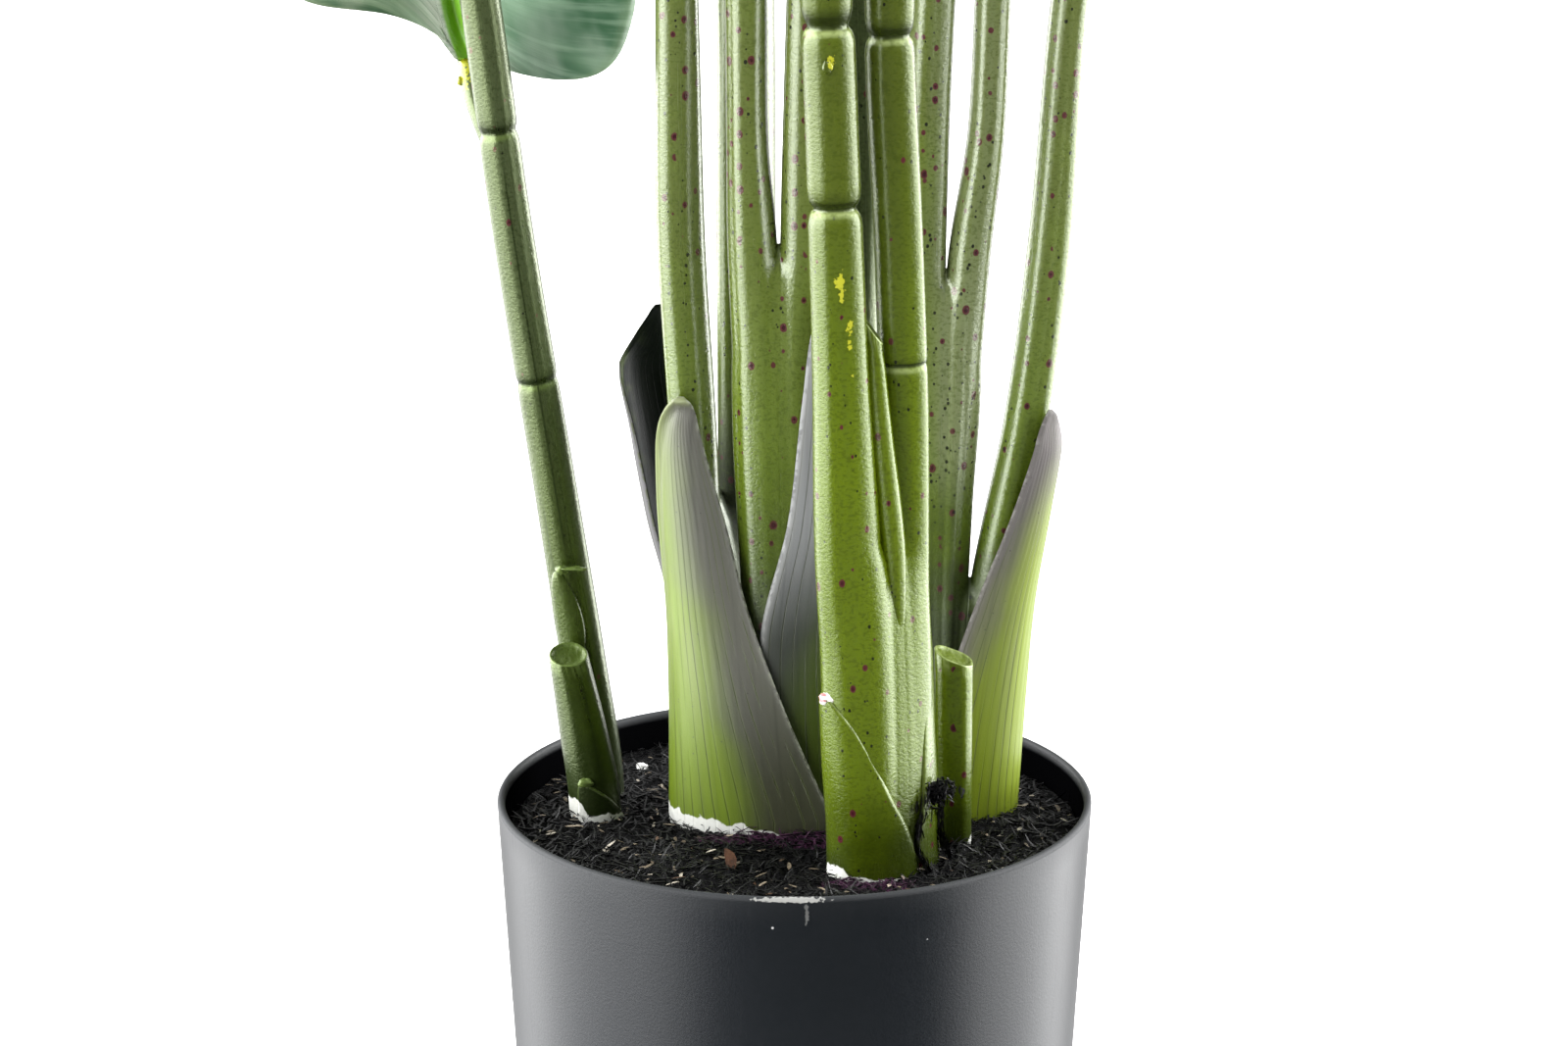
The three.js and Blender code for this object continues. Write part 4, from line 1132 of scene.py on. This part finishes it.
# A strand lies along its leg's line, found between places a little apart, and looser at the top
def tuftPatches():
    spec = tuft["tangle"]
    count = spec["count"]
    place = np.array(spec["centre"]) + dice.normal(0, 1, (count, 3)) * spec["spread"]
    sizes = drawn(count, spec["limits"])
    turns = dice.normal(0.2, 0.8, count), dice.uniform(0, 2 * np.pi, count)
    made = [shredPatch(*place.T, *sizes, *turns, np.zeros(count))]
    for count, line in tuft["legs"]:
        t = dice.uniform(0, 1, count)
        end = line[-1][0]
        place, ahead = [rowsAt(line, at * end) for at in (t, np.minimum(t + 0.05, 1.05))]
        way = unit(ahead - place)
        tilt = np.arcsin(np.clip(way[:, 2], -1, 1)) + dice.normal(0, 0.22, count)
        heading = np.arctan2(way[:, 1], way[:, 0]) + dice.normal(0, 0.3, count)
        loose = tuft["spread"] * (1.3 - 0.8 * t)[:, None]
        place = place + dice.normal(0, 1, (count, 3)) * loose
        sizes = drawn(count, tuft["limits"])
        made.append(shredPatch(*place.T, *sizes, tilt, heading, np.zeros(count)))
    return made


# Pot: its outline turned round the axis, with a rounded foot and a rounded rim
def potPatches():
    height, wall, floor, lip = [pot[key] for key in ("height", "wall", "floor", "lip")]
    sideRows, rimRows, innerRows = pot["rows"]
    ridge = potRadius(height - lip) - wall / 2
    outer = pot["foot"] + [(potRadius(z), z) for z in np.linspace(4, height - 1.6, sideRows)]
    for a in np.radians(np.linspace(0, 180, rimRows)):
        outer.append((ridge + wall / 2 * math.cos(a), height - lip + lip * math.sin(a)))
    inner = [(potRadius(z) - wall, z) for z in np.linspace(height - 3, floor + 2, innerRows)]
    inner += [(potRadius(floor) - wall - 1.5, floor), (40, floor), (0.01, floor)]
    r, z = np.array(outer + inner).T[..., None]
    a = np.linspace(0, 2 * np.pi, pot["sides"], endpoint=False)
    inner = np.repeat([0.0, 1.0], [len(outer), len(inner)])[:, None]
    lip = ease(z, height - 1.9, height - 1.1) * (1 - inner)
    points = placed(r * np.cos(a), r * np.sin(a), z, 0)
    return [gridPatch(points, True, inner=inner + 0 * a, lip=lip + 0 * a)]


# Finishes. Colours are linear red, green and blue
def darker(colour, share):
    return tuple(c * share for c in colour)


paint = {
    "chip": (0.62, 0.63, 0.59),
    "spot": (0.052, 0.0035, 0.013),
    "speck": (0.004, 0.004, 0.0025),
    "purple": (0.04, 0.011, 0.032),
    "soil": (0.0024, 0.0024, 0.003),
    "yellow": (0.25, 0.25, 0.012),
}


# Red-brown spots and small black specks scattered over a moulded skin. A cell's chance gives the
# size of its spot, and most of the chances give none
def speckled(finish, colour, look):
    scale, squash, rare, grow = look["spots"]
    place = finish.stretched(finish.place, (1, 1, squash))
    far, size = finish.cells(scale, rare, grow, 0, place)
    wobble = finish.noise(1100) * 0.08 - 0.04
    tiny, speck = finish.cells(*look["specks"], 1, place)
    return finish.coats(
        colour,
        (size - far + wobble, 0.0, 0.04, 0.9, paint["spot"]),
        (size * 0.6 - far, 0.0, 0.05, 0.8, darker(paint["spot"], 0.45)),
        (speck - tiny, 0.0, 0.05, 0.9, paint["speck"]),
    )


# White undercoat that shows where the paint is chipped off at the foot. Each entry is a point at
# the soil and how wide and high the bare patch is
def chipped(finish, colour, patches):
    if not patches:
        return colour, 0.0
    level, ragged = 157.5 * mm, finish.noise(260, 4) * 5.2 * mm - 2.6 * mm
    x, y, z = finish.axes(finish.place)
    masks = []
    for (px, py), wide, high in patches:
        across = (x - px * mm) * (x - px * mm) + (y - py * mm) * (y - py * mm)
        near = finish.between(across, (wide * mm) ** 2, (wide * 0.35 * mm) ** 2)
        top = near * high * mm + ragged * near * min(1.0, high / 4)
        bare = finish.between(z - top - level, 0.25 * mm, -0.25 * mm)
        masks.append(bare * finish.between(near, 0.02, 0.1))
    total = union(masks)
    grey = finish.mix(finish.noise(500, 3), darker(paint["chip"], 0.72), paint["chip"])
    return finish.mix(total, colour, grey), total


# Each stem colour: low, high and foot with the heights that they blend over, the foot's dark being
# painted shade; the pale of rings, a painted highlight on their lips, and of cuts; roughness, dullness
# at the foot, shine and its tint; the scale, rareness and size of specks, and for spots their squash
# too; chips, yellow marks and mould seams
stemLooks = {
    "darkStem": {
        "slot": "dark_stem", "low": (0.02, 0.033, 0.001), "high": (0.038, 0.05, 0.02),
        "heights": (200, 330), "foot": (0.006, 0.012, 0.0007), "footShadeHeights": (240, 160),
        "pale": (0.075, 0.11, 0.026), "rough": 0.25, "dull": 0.1, "shine": 0.6,
        "tint": (0.84, 1, 0.55, 1), "spots": (270, 0.75, 0.7, 0.9), "specks": (500, 0.6, 0.65),
        "chips": [((-71, 7), 8, 8), ((-62, 4), 9, 3.6), ((-56.5, 8), 5, 3)],
        "yellow": [((-102.5, 34, 395), 2.2), ((-103, 36, 399.5), 2.4)],
        "seams": [(0.6, 243, 372), (-4.4, 205, 262), (3.4, 160, 215)],
    },
    "paleStem": {
        "slot": "pale_stem", "low": (0.073, 0.111, 0.005), "high": (0.069, 0.088, 0.019),
        "heights": (215, 400), "foot": (0.011, 0.019, 0.001), "footShadeHeights": (285, 215),
        "pale": (0.2, 0.24, 0.12), "rough": 0.23, "dull": 0.4, "shine": 0.75,
        "tint": (0.93, 1, 0.86, 1), "spots": (300, 0.8, 0.5, 0.8), "specks": (520, 0.5, 0.65),
        "chips": [((56, 6), 6, 1.2)], "yellow": [],
        # pale layer that is painted sheen: its middle and reach across, and the heights that it fades in
        # over
        "paintedSheen": (53, 14, 255, 285), "paintedSheenColour": (0.115, 0.133, 0.066),
        # the skin behind these is painted shade, darker and duller in the recess: where it begins and is
        # full across, deep and up
        "recessShade": [((-30, -24), (17, 22), (325, 265)), ((5, 0), (17, 22), (325, 265))],
    },
    "freshStem": {
        "slot": "fresh_stem", "low": (0.056, 0.082, 0.0012), "high": (0.04, 0.054, 0.005),
        "heights": (290, 400), "foot": (0.011, 0.018, 0.0006), "footShadeHeights": (200, 150),
        "pale": (0.22, 0.27, 0.1), "rough": 0.21, "dull": 0.06, "shine": 0.5,
        "tint": (0.88, 1, 0.7, 1), "spots": (280, 0.75, 0.62, 0.85), "specks": (500, 0.62, 0.7),
        "chips": [((11.5, -46), 8, 4.5), ((18, -49), 9, 2.2), ((27, -48), 9, 1.2), ((56, -13), 3, 3)],
        "yellow": [
            ((10.4, -52, 412.6), 1.1), ((13.2, -51, 347.5), 1.5), ((13.8, -51, 343), 1.0),
            ((16.3, -49, 333.4), 1.1), ((16.2, -49, 328), 0.9), ((17, -48.6, 318.6), 0.6),
        ],
    },
}


# Painted shade low down in the recess between the stems, and a pale layer of painted sheen, where a look
# has them. Gives the painted shade's mask too
def paintedShadeAndSheen(finish, colour, look):
    x, y, z = finish.axes(finish.place)
    recessShade = 0.0
    if "recessShade" in look:
        recessShade = 1.0
        for ends in look["recessShade"]:
            for axis, (begins, full) in zip((x, y, z), ends):
                recessShade = finish.between(axis, begins * mm, full * mm) * recessShade
        # painted shade: darker paint in the recess behind the other stems
        colour = finish.mix(recessShade * 0.92, colour, darker(look["foot"], 0.3))
    if "paintedSheen" in look:
        # painted sheen: a pale layer round the middle across, weaker higher up
        middle, reach, start, full = [v * mm for v in look["paintedSheen"]]
        paintedSheen = finish.between(abs(x - middle), reach, reach * 0.4) * finish.between(z, start, full)
        paintedSheen = paintedSheen * finish.between(z, full + 75 * mm, full + 35 * mm, 0.4, 0.75)
        colour = finish.mix(paintedSheen, colour, look["paintedSheenColour"])
    return colour, recessShade


# Node rings, dark in the neck with a pale lip that is a painted highlight, and mould seams: dark lines
# between two heights
def lined(finish, colour, look):
    across = finish.axes(finish.attribute("grain", "Vector"))[0]
    z = finish.axes(finish.place)[2]
    colour = finish.mix(finish.attribute("dark") * 0.9, colour, darker(look["foot"], 0.6))
    # pale marks of cuts, knobs and shells, and the painted highlight on ring lips
    paleMarksAndLipHighlights = finish.attribute("pale") * finish.between(finish.noise(380, 3), 0.3, 0.55, 0.35, 1.0)
    colour = finish.mix(paleMarksAndLipHighlights, colour, look["pale"])
    for seam, start, end in look.get("seams", []):
        span = finish.between(z, start * mm, (start + 6) * mm)
        span = span * finish.between(z, end * mm, (end - 9) * mm) * 0.7
        thin = (abs(across - seam * mm), 0.4 * mm, 0.12 * mm, span, look["foot"])
        colour = finish.coats(colour, thin)
    return colour


# Moulded stem: green that changes with height and darkens at the foot as painted shade, streaks along
# it, mottling, spots, chips and a leathery skin
def stemFinish(name, look):
    finish = Finish(name)
    low = look["low"]
    streak = finish.streaks(finish.attribute("grain", "Vector"), (330, 330, 7), 4)
    mottle = finish.noise(34, 4, roughness=0.6)
    bend = finish.axes(finish.place)[2] + (mottle - 0.5) * 0.06
    level = finish.between(bend, *[h * mm for h in look["heights"]])
    # painted shade: the skin darkens towards the foot
    shade = finish.between(bend, *[h * mm for h in look["footShadeHeights"]])
    colour = finish.mix(shade, finish.mix(level, low, look["high"]), look["foot"])
    colour = finish.coats(
        colour,
        (streak, 0.35, 0.7, 0.16, darker(low, 0.55)),
        (mottle, 0.5, 0.8, 0.3, darker(low, 1.25)),
    )
    colour, recessShade = paintedShadeAndSheen(finish, colour, look)
    peel = finish.noise(760, 3, finish.stretched(finish.place, (1, 1, 1.5)), 0.6)
    colour = finish.coats(colour, (peel, 0.52, 0.36, 0.45, darker(low, 0.4)))
    colour = lined(finish, speckled(finish, colour, look), look)
    cut = finish.attribute("cut")
    rays = finish.streaks(finish.place, (900, 250, 300), 3)
    colour = finish.coats(colour, (rays, 0.35, 0.65, cut * 0.7, low))
    colour, bare = chipped(finish, colour, look["chips"])
    pinkish = finish.coats(paint["chip"], (finish.noise(330, 1), 0.52, 0.62, 1.0, (0.5, 0.2, 0.22)))
    peeled = (finish.noise(420, 3), 0.3, 0.45, finish.attribute("bare"), pinkish)
    colour = finish.coats(colour, peeled)
    colour = finish.mix(finish.attribute("yellow"), colour, darker(paint["yellow"], 0.8))
    for point, size in look["yellow"]:
        mark = finish.blot(point, size, 1.7, (1.15, 0.5, 0.5))
        colour = finish.mix(mark, colour, paint["yellow"])
    rough = look["rough"] + finish.between(streak, 0.3, 0.8) * 0.06 + bare * 0.4
    rough = rough + shade * shade * look["dull"] + recessShade * 0.5
    height = peel * 1.1 + finish.noise(1900) * 0.2 + streak * 0.2 + cut * rays
    gloss = {"Specular_IOR_Level": look["shine"], "Specular_Tint": look["tint"]}
    return finish.surface(colour, rough, height, distance=0.00018, strength=0.9, **gloss)


# Sheath skins: green and pale below, and mauve grey beyond a line of a slope through a point,
# with fine lines along them. Deep is the colour towards the foot on the far side, a painted shade.
# Gloss is roughness and shine
sheathLooks = {
    "sheath_left": {
        "slot": "sheath", "green": (0.085, 0.13, 0.0012), "pale": (0.1, 0.124, 0.0325),
        "mauve": (0.0693, 0.0685, 0.0575), "line": (-0.24, -13.5, 160), "blend": (-8, 10),
        "sign": 1, "deep": (0.03, 0.032, 0.0165), "farShadeHeights": (215, 165),
        "rim": (0.144, 0.171, 0.0639), "edge": (0.224, 0.24, 0.181),
        "inner": (0.0266, 0.04, 0.00639), "gloss": (0.42, 0.5),
        "chips": [((-40, 8), 14, 6), ((-31, -4), 12, 5), ((-21, -7), 11, 3.8), ((-12, -8), 9, 2)],
    },
    "sheath_right": {
        "slot": "sheath", "green": (0.128, 0.173, 0.00666), "pale": (0.113, 0.134, 0.0466),
        "mauve": (0.0799, 0.0719, 0.0699), "line": (0.45, 52, 200), "blend": (-8, 10),
        "sign": -1, "deep": (0.0666, 0.0866, 0.02), "farShadeHeights": (150, 120),
        "rim": (0.0936, 0.0866, 0.0833), "edge": (0.2, 0.194, 0.18),
        "inner": (0.0333, 0.05, 0.00799), "gloss": (0.42, 0.3), "chips": [((62, 5), 22, 0.7)],
    },
    "sheath_centre": {
        "slot": "dark_sheath", "green": (0.0314, 0.049, 0.00447), "pale": (0.0447, 0.0535, 0.0267),
        "mauve": (0.138, 0.142, 0.146), "line": (0.6, -14, 182), "blend": (-10, 12),
        "sign": -1, "deep": (0.0267, 0.0304, 0.0251), "farShadeHeights": (262, 218),
        "rim": (0.179, 0.183, 0.179), "edge": (0.03, 0.031, 0.034),
        "inner": (0.0267, 0.0357, 0.0179), "gloss": (0.3, 0.5), "chips": [],
    },
    "sheath_back": {
        "slot": "dark_sheath", "green": (0.06, 0.088, 0.006), "pale": (0.09, 0.105, 0.04),
        "mauve": (0.105, 0.103, 0.106), "line": (-0.5, -25, 160), "blend": (-9, 13),
        "sign": 1, "deep": (0.072, 0.072, 0.0648), "farShadeHeights": (180, 150),
        "rim": (0.036, 0.0432, 0.018), "edge": (0.0432, 0.054, 0.018),
        "inner": (0.0025, 0.0042, 0.0032), "gloss": (0.4, 0.08), "chips": [],
    },
}


# Green and mauve meet at the line, wavering by noise; streaks, fine lines where a sine of the
# place across peaks, a rim, a frayed edge, specks, a dark inside and chips lie over them
def sheathFinish(name, look):
    finish = Finish(name + " skin")
    green, mauve = look["green"], look["mauve"]
    x, _, z = finish.axes(finish.place)
    grain = finish.attribute("grain", "Vector")
    slope, foot, level = look["line"]
    beyond = (x - (z - level * mm) * slope - foot * mm) * look["sign"]
    wander = (finish.noise(30) - 0.5) * 14 * mm
    streak = finish.streaks(grain, (420, 5, 1), 4)
    soft = finish.streaks(grain, (120, 9, 1), 3)
    low = finish.between(z, 172 * mm, 225 * mm) * 0.75
    near = finish.mix(low, green, finish.coats(green, (soft, 0.35, 0.7, 1.0, look["pale"])))
    # painted shade: the mauve side darkens towards the foot
    deep = finish.between(z + wander, *[h * mm for h in look["farShadeHeights"]])
    far = finish.mix(deep, mauve, look["deep"])
    colour = finish.mix(finish.between(beyond + wander, *[b * mm for b in look["blend"]]), near, far)
    worn = finish.between(streak, 0.45, 0.75) * 0.3
    colour = finish.mix(worn, colour, darker(mauve, 0.7), "MULTIPLY")
    bend = finish.streaks(grain, (24, 14, 1), 2) * 6
    turn = finish.attribute("side") * (2 * math.pi) + bend
    wave = finish.node("Math", {"operation": "SINE"}, {0: turn})
    drawn = finish.between(finish.streaks(grain, (180, 6, 1), 2), 0.4, 0.55)
    line = finish.between(wave, 0.94, 0.985) * drawn
    beside = finish.between(wave, 0.78, 0.9) * drawn - line
    colour = finish.mix(line * 0.75, colour, darker(green, 0.22))
    colour = finish.mix(beside * 0.3, colour, look["pale"])
    colour = finish.mix(finish.attribute("rim") * 0.8, colour, look["rim"])
    edge = finish.attribute("edge")
    frayed = edge * finish.between(finish.noise(420, 3), 0.45, 0.6)
    colour = finish.mix(frayed * 0.7, colour, look["edge"])
    tiny, size = finish.cells(480, 0.7, 0.6)
    colour = finish.coats(colour, (size - tiny, 0.0, 0.06, 0.55, darker(mauve, 0.3)))
    blotch = finish.between(finish.noise(60, 3), 0.5, 0.7) * finish.between(x, -44 * mm, -58 * mm)
    inside = finish.mix(blotch, look["inner"], (0.05, 0.07, 0.015))
    colour = finish.mix(finish.attribute("inner"), colour, inside)
    colour, bare = chipped(finish, colour, look["chips"])
    rough, shine = look["gloss"]
    rough = rough + streak * 0.12 + bare * 0.3 + edge * 0.35
    height = streak * 0.6 + soft * 0.6 + finish.noise(1500) * 0.25 - line * 0.9 + frayed
    fixed = {"distance": 0.0002, "strength": 0.9, "Specular_IOR_Level": shine}
    return finish.surface(colour, rough, height, **fixed)


# Leaf. Its colours: dark and light drifts, brushed veins, pale patches of painted sheen and fine
# veins; underside, painted sheen by the midrib, edge, midrib and stalk, specks; and what the high
# leaves and the low leaf's left lobe, in painted shade, are multiplied by
leafLook = {
    "dark": (0.028, 0.09, 0.042), "light": (0.14, 0.235, 0.15), "brushed": (0.2, 0.31, 0.21),
    "patch": (0.34, 0.42, 0.34), "vein": (0.07, 0.14, 0.08), "under": (0.06, 0.12, 0.07),
    "underLight": (0.14, 0.21, 0.14), "sheen": (0.4, 0.43, 0.36), "edge": (0.2, 0.27, 0.15),
    "rib": (0.14, 0.24, 0.05), "stalk": (0.1, 0.27, 0.0), "speck": (0.4, 0.42, 0.36),
    "high": (0.42, 0.5, 0.4), "highFrom": (0.43, 0.6), "paintedLeeShade": (0.62, 0.58, 0.5),
}


# Blue green with paler veins that slant from the midrib, whitish painted sheen in soft patches
# and by the midrib, greyer beneath and yellow at the stalk
def leafFinish():
    finish, look = Finish("leaf skin"), leafLook
    grain = finish.attribute("grain", "Vector")
    across, _, along = finish.axes(grain)
    inner = finish.attribute("inner")
    drift = finish.streaks(grain, (16, 60, 1), 3, distortion=0.4)
    brush = finish.streaks(grain, (22, 420, 1), 4, 0.6)
    fineVein = finish.streaks(grain, (6, 1100, 1), 3)
    patch = finish.streaks(grain, (38, 30, 1), 3, 0.55)
    under = finish.coats(look["under"], (brush, 0.35, 0.7, 1.0, look["underLight"]))
    stalk = finish.between(along, 0.13, 0.04) * finish.between(brush, 0.25, 0.55) * 0.8
    rib = finish.coats(look["rib"], (along, 0.12, 0.0, 1.0, look["stalk"]))
    # the pale patches are whitish painted sheen
    colour = finish.coats(
        look["dark"],
        (drift, 0.4, 0.6, 1.0, look["light"]),
        (brush, 0.45, 0.7, 0.5, look["brushed"]),
        (patch, 0.5, 0.72, 0.45, look["patch"]),
        (fineVein, 0.6, 0.75, 0.3, look["vein"]),
    )
    colour = finish.mix(inner * 0.85, colour, under)
    # painted sheen beside the midrib, near the stalk
    colour = finish.coats(colour, (abs(across), 18 * mm, 5 * mm, stalk, look["sheen"]))
    colour = finish.mix(finish.attribute("edge") * 0.35, colour, look["edge"])
    colour = finish.coats(
        colour,
        (finish.attribute("pale"), 0.25, 0.7, 1.0, rib),
        (finish.noise(160), 0.72, 0.78, 0.4, look["speck"]),
    )
    # the low leaf is paler, its colour carrying painted sheen, and the high ones are deeper in colour
    high = finish.between(finish.axes(finish.place)[2], *look["highFrom"])
    colour = finish.mix(high, colour, look["high"], "MULTIPLY")
    # painted shade over the low leaf's left lobe near its base
    paintedLeeShade = finish.between(across, 4 * mm, 20 * mm) * finish.between(along, 0.17, 0.07) * (1 - high)
    colour = finish.mix(paintedLeeShade, colour, look["paintedLeeShade"], "MULTIPLY")
    rough = 0.36 + finish.between(brush, 0.3, 0.7) * 0.15 + inner * 0.12 + high * 0.3
    height = brush * 0.5 + fineVein * 0.4 + finish.noise(900) * 0.15
    fixed = {"distance": 0.0004, "strength": 0.8, "Specular_IOR_Level": 0.45}
    return finish.surface(colour, rough, height, **fixed)


# Purple dust on the soil in front of the two biggest feet
def dusted(finish, colour):
    marks = [
        ((-12, -12.5, 158), 12, (0.55, 1.9, 1)), ((7, -13.5, 158), 11, (0.7, 1.8, 1)),
        ((23, -53, 158), 12, (0.75, 2, 1)),
    ]
    masks = [finish.blot(point, size, 0.35, stretch) for point, size, stretch in marks]
    share = union(masks) * 0.9
    return finish.coats(colour, (finish.noise(520, 3), 0.4, 0.58, share, paint["purple"]))


# Black crumbs in clumps, with paler grit where its noise is high
def soilFinish():
    finish = Finish("soil crumbs")
    grit = finish.noise(380, 5, roughness=0.7)
    clump = finish.noise(90, 3)
    colour = finish.coats(
        darker(paint["soil"], 0.5),
        (clump, 0.3, 0.75, 1.0, paint["soil"]),
        (grit, 0.64, 0.76, 0.5, (0.03, 0.027, 0.024)),
    )
    height = grit * 1.4 + clump * 0.5
    rough = 0.9 - clump * 0.2
    fixed = {"distance": 0.0016, "strength": 1.0, "Specular_IOR_Level": 0.1}
    return finish.surface(dusted(finish, colour), rough, height, **fixed)


# Shreds take their colour from their tone: black, brown, tan and nearly white
def shredFinish():
    finish = Finish("shredded fibre")
    stops = [
        (0.0, (0.0015, 0.0015, 0.0018)), (0.3, (0.004, 0.004, 0.004)),
        (0.47, (0.022, 0.021, 0.02)), (0.5, (0.07, 0.03, 0.016)), (0.55, (0.09, 0.07, 0.045)),
        (0.75, (0.26, 0.21, 0.15)), (0.95, (0.46, 0.43, 0.36)), (1.0, (0.8, 0.8, 0.78)),
    ]
    colour = finish.node("ValToRGB", {"stops": stops}, {0: finish.attribute("tone")})
    colour = finish.coats(colour, (finish.noise(300, 3), 0.45, 0.65, 0.45, (0.003, 0.003, 0.003)))
    rough = 0.34 + finish.noise(700) * 0.3
    height = finish.noise(1500, 3)
    fixed = {"distance": 0.0003, "strength": 0.7, "Specular_IOR_Level": 0.3}
    return finish.surface(dusted(finish, colour), rough, height, **fixed)


# Satin pot with a thin scuffed band and a run on its front lip, dust, paler towards the bottom, and an
# inside painted near black and without gloss, as painted shade
def potFinish():
    finish = Finish("pot satin")
    cloud = finish.noise(14, 3)
    colour = finish.mix(cloud, (0.003, 0.0044, 0.006), (0.0055, 0.007, 0.009))
    scuff = finish.blot((-1, -95, 169.4), 0.9, 0.9, (0.075, 0.3, 1))
    drip = finish.blot((3.4, -95, 165), 1.1, 1.2, (1.6, 0.3, 0.3))
    colour = finish.mix(scuff * 0.75 + drip * 0.22, colour, (0.26, 0.26, 0.245))
    dust, size = finish.cells(150, 0.88, 0.7, 0)
    # a grey tint that makes it paler towards the bottom, and white dust specks
    colour = finish.coats(
        colour,
        (finish.axes(finish.place)[2], 0.15, 0.03, 0.4, (0.026, 0.029, 0.034)),
        (size - dust, 0.0, 0.03, 0.7, (0.4, 0.4, 0.4)),
    )
    scratch = finish.streaks(finish.place, (700, 700, 30), 4)
    rough = 0.27 + cloud * 0.06 + finish.between(scratch, 0.55, 0.8) * 0.08 + scuff * 0.3
    rough = rough + finish.attribute("lip") * 0.4
    height = finish.noise(1300, 3) * 0.5 + cloud * 0.4 + scratch * 0.2
    fixed = {"distance": 0.00012, "strength": 0.6, "Specular_IOR_Level": 0.42}
    outside = finish.shader(colour, rough, height, **fixed)
    # painted shade: the inside is near black and has no gloss
    dull = finish.mix(cloud, (0.0008, 0.0008, 0.001), (0.0016, 0.0016, 0.0019))
    fixed = {"distance": 0.0002, "strength": 0.6, "Specular_IOR_Level": 0.0}
    inside = finish.shader(dull, 0.8, height, **fixed)
    both = finish.node("MixShader", {}, {0: finish.attribute("inner"), 1: outside, 2: inside})
    finish.node("OutputMaterial", {}, {"Surface": both})
    return finish.material


finishes = {name: (stemFinish(name, look), look["slot"]) for name, look in stemLooks.items()}
print("stem finishes mixed")

# Small patches that belong to a stem's moulding
extras = {
    "stem_left": [
        scalePatch(stems["stem_left"]["lobes"][0], 205, 238, 244, 0.85, 1.5, 0.12),
        knobPatch((-74.3, 17.4, 238.8), (2.4, 1.4, 1.5), 1.0, pale=0.7),
        knobPatch((-70, 17, 239.4), (4.2, 1.9, 0.55), 4.0, pale=0.8),
        knobPatch((-104.3, 34, 393.5), (1.5, 1.4, 1.6), 2.2, yellow=1.0),
        knobPatch((-103.6, 36, 398), (1.7, 1.5, 2.8), 0.4, yellow=1.0),
    ],
    "stub_left": [
        hugPatch("pocket"),
        knobPatch((-67.2, 3.6, 171.6), (2.4, 1.3, 1.6), 2.0, pale=1.0),
    ],
    "stem_front": [
        hugPatch("wrap"), hugPatch("flange"),
        knobPatch((10.1, -46.6, 216.6), (2.7, 2.2, 2.0), 3.0, bare=1.0),
        knobPatch((9.1, -51.4, 411), (1.5, 0.8, 2.1), 1.3, dark=0.25),
    ],
}
for name, spec in stems.items():
    finish, slot = finishes[spec["finish"]]
    seeds = [letters * moulding["phase"] for letters in (len(name), len(name) + 1)]
    patches = stemPatches(spec, seeds[0])
    if name in branches:
        patches += stemPatches({"turn": spec["turn"], **branches[name]}, seeds[1])
    makePiece(name + "_moulding", patches + extras.get(name, []), name, finish)
print("stems moulded:", len(stems))

for name, spec in sheaths.items():
    finish = sheathFinish(name, sheathLooks[name])
    makePiece(name + "_wall", [sheathPatch(spec)], name, finish)
print("sheaths wrapped:", len(sheaths))

leafSkin = leafFinish()
for name, (size, stem, lobe) in leaves.items():
    if lobe is None:
        rows = [*branches[stem]["lobes"][0][:-1], branches[stem]["leafFrom"]]
    else:
        rows = stems[stem]["lobes"][lobe]
    makePiece(name + "_blade", [leafPatch(size, rows)], name, leafSkin)
print("leaves opened:", len(leaves))

makePiece("soil_bed", soilPatches(), "soil", soilFinish())
litter = litterPatches() + tuftPatches()
makePiece("soil_litter", litter, None, shredFinish(), False, 0)
makePiece("pot_shell", potPatches(), "pot", potFinish())
print("pot filled")
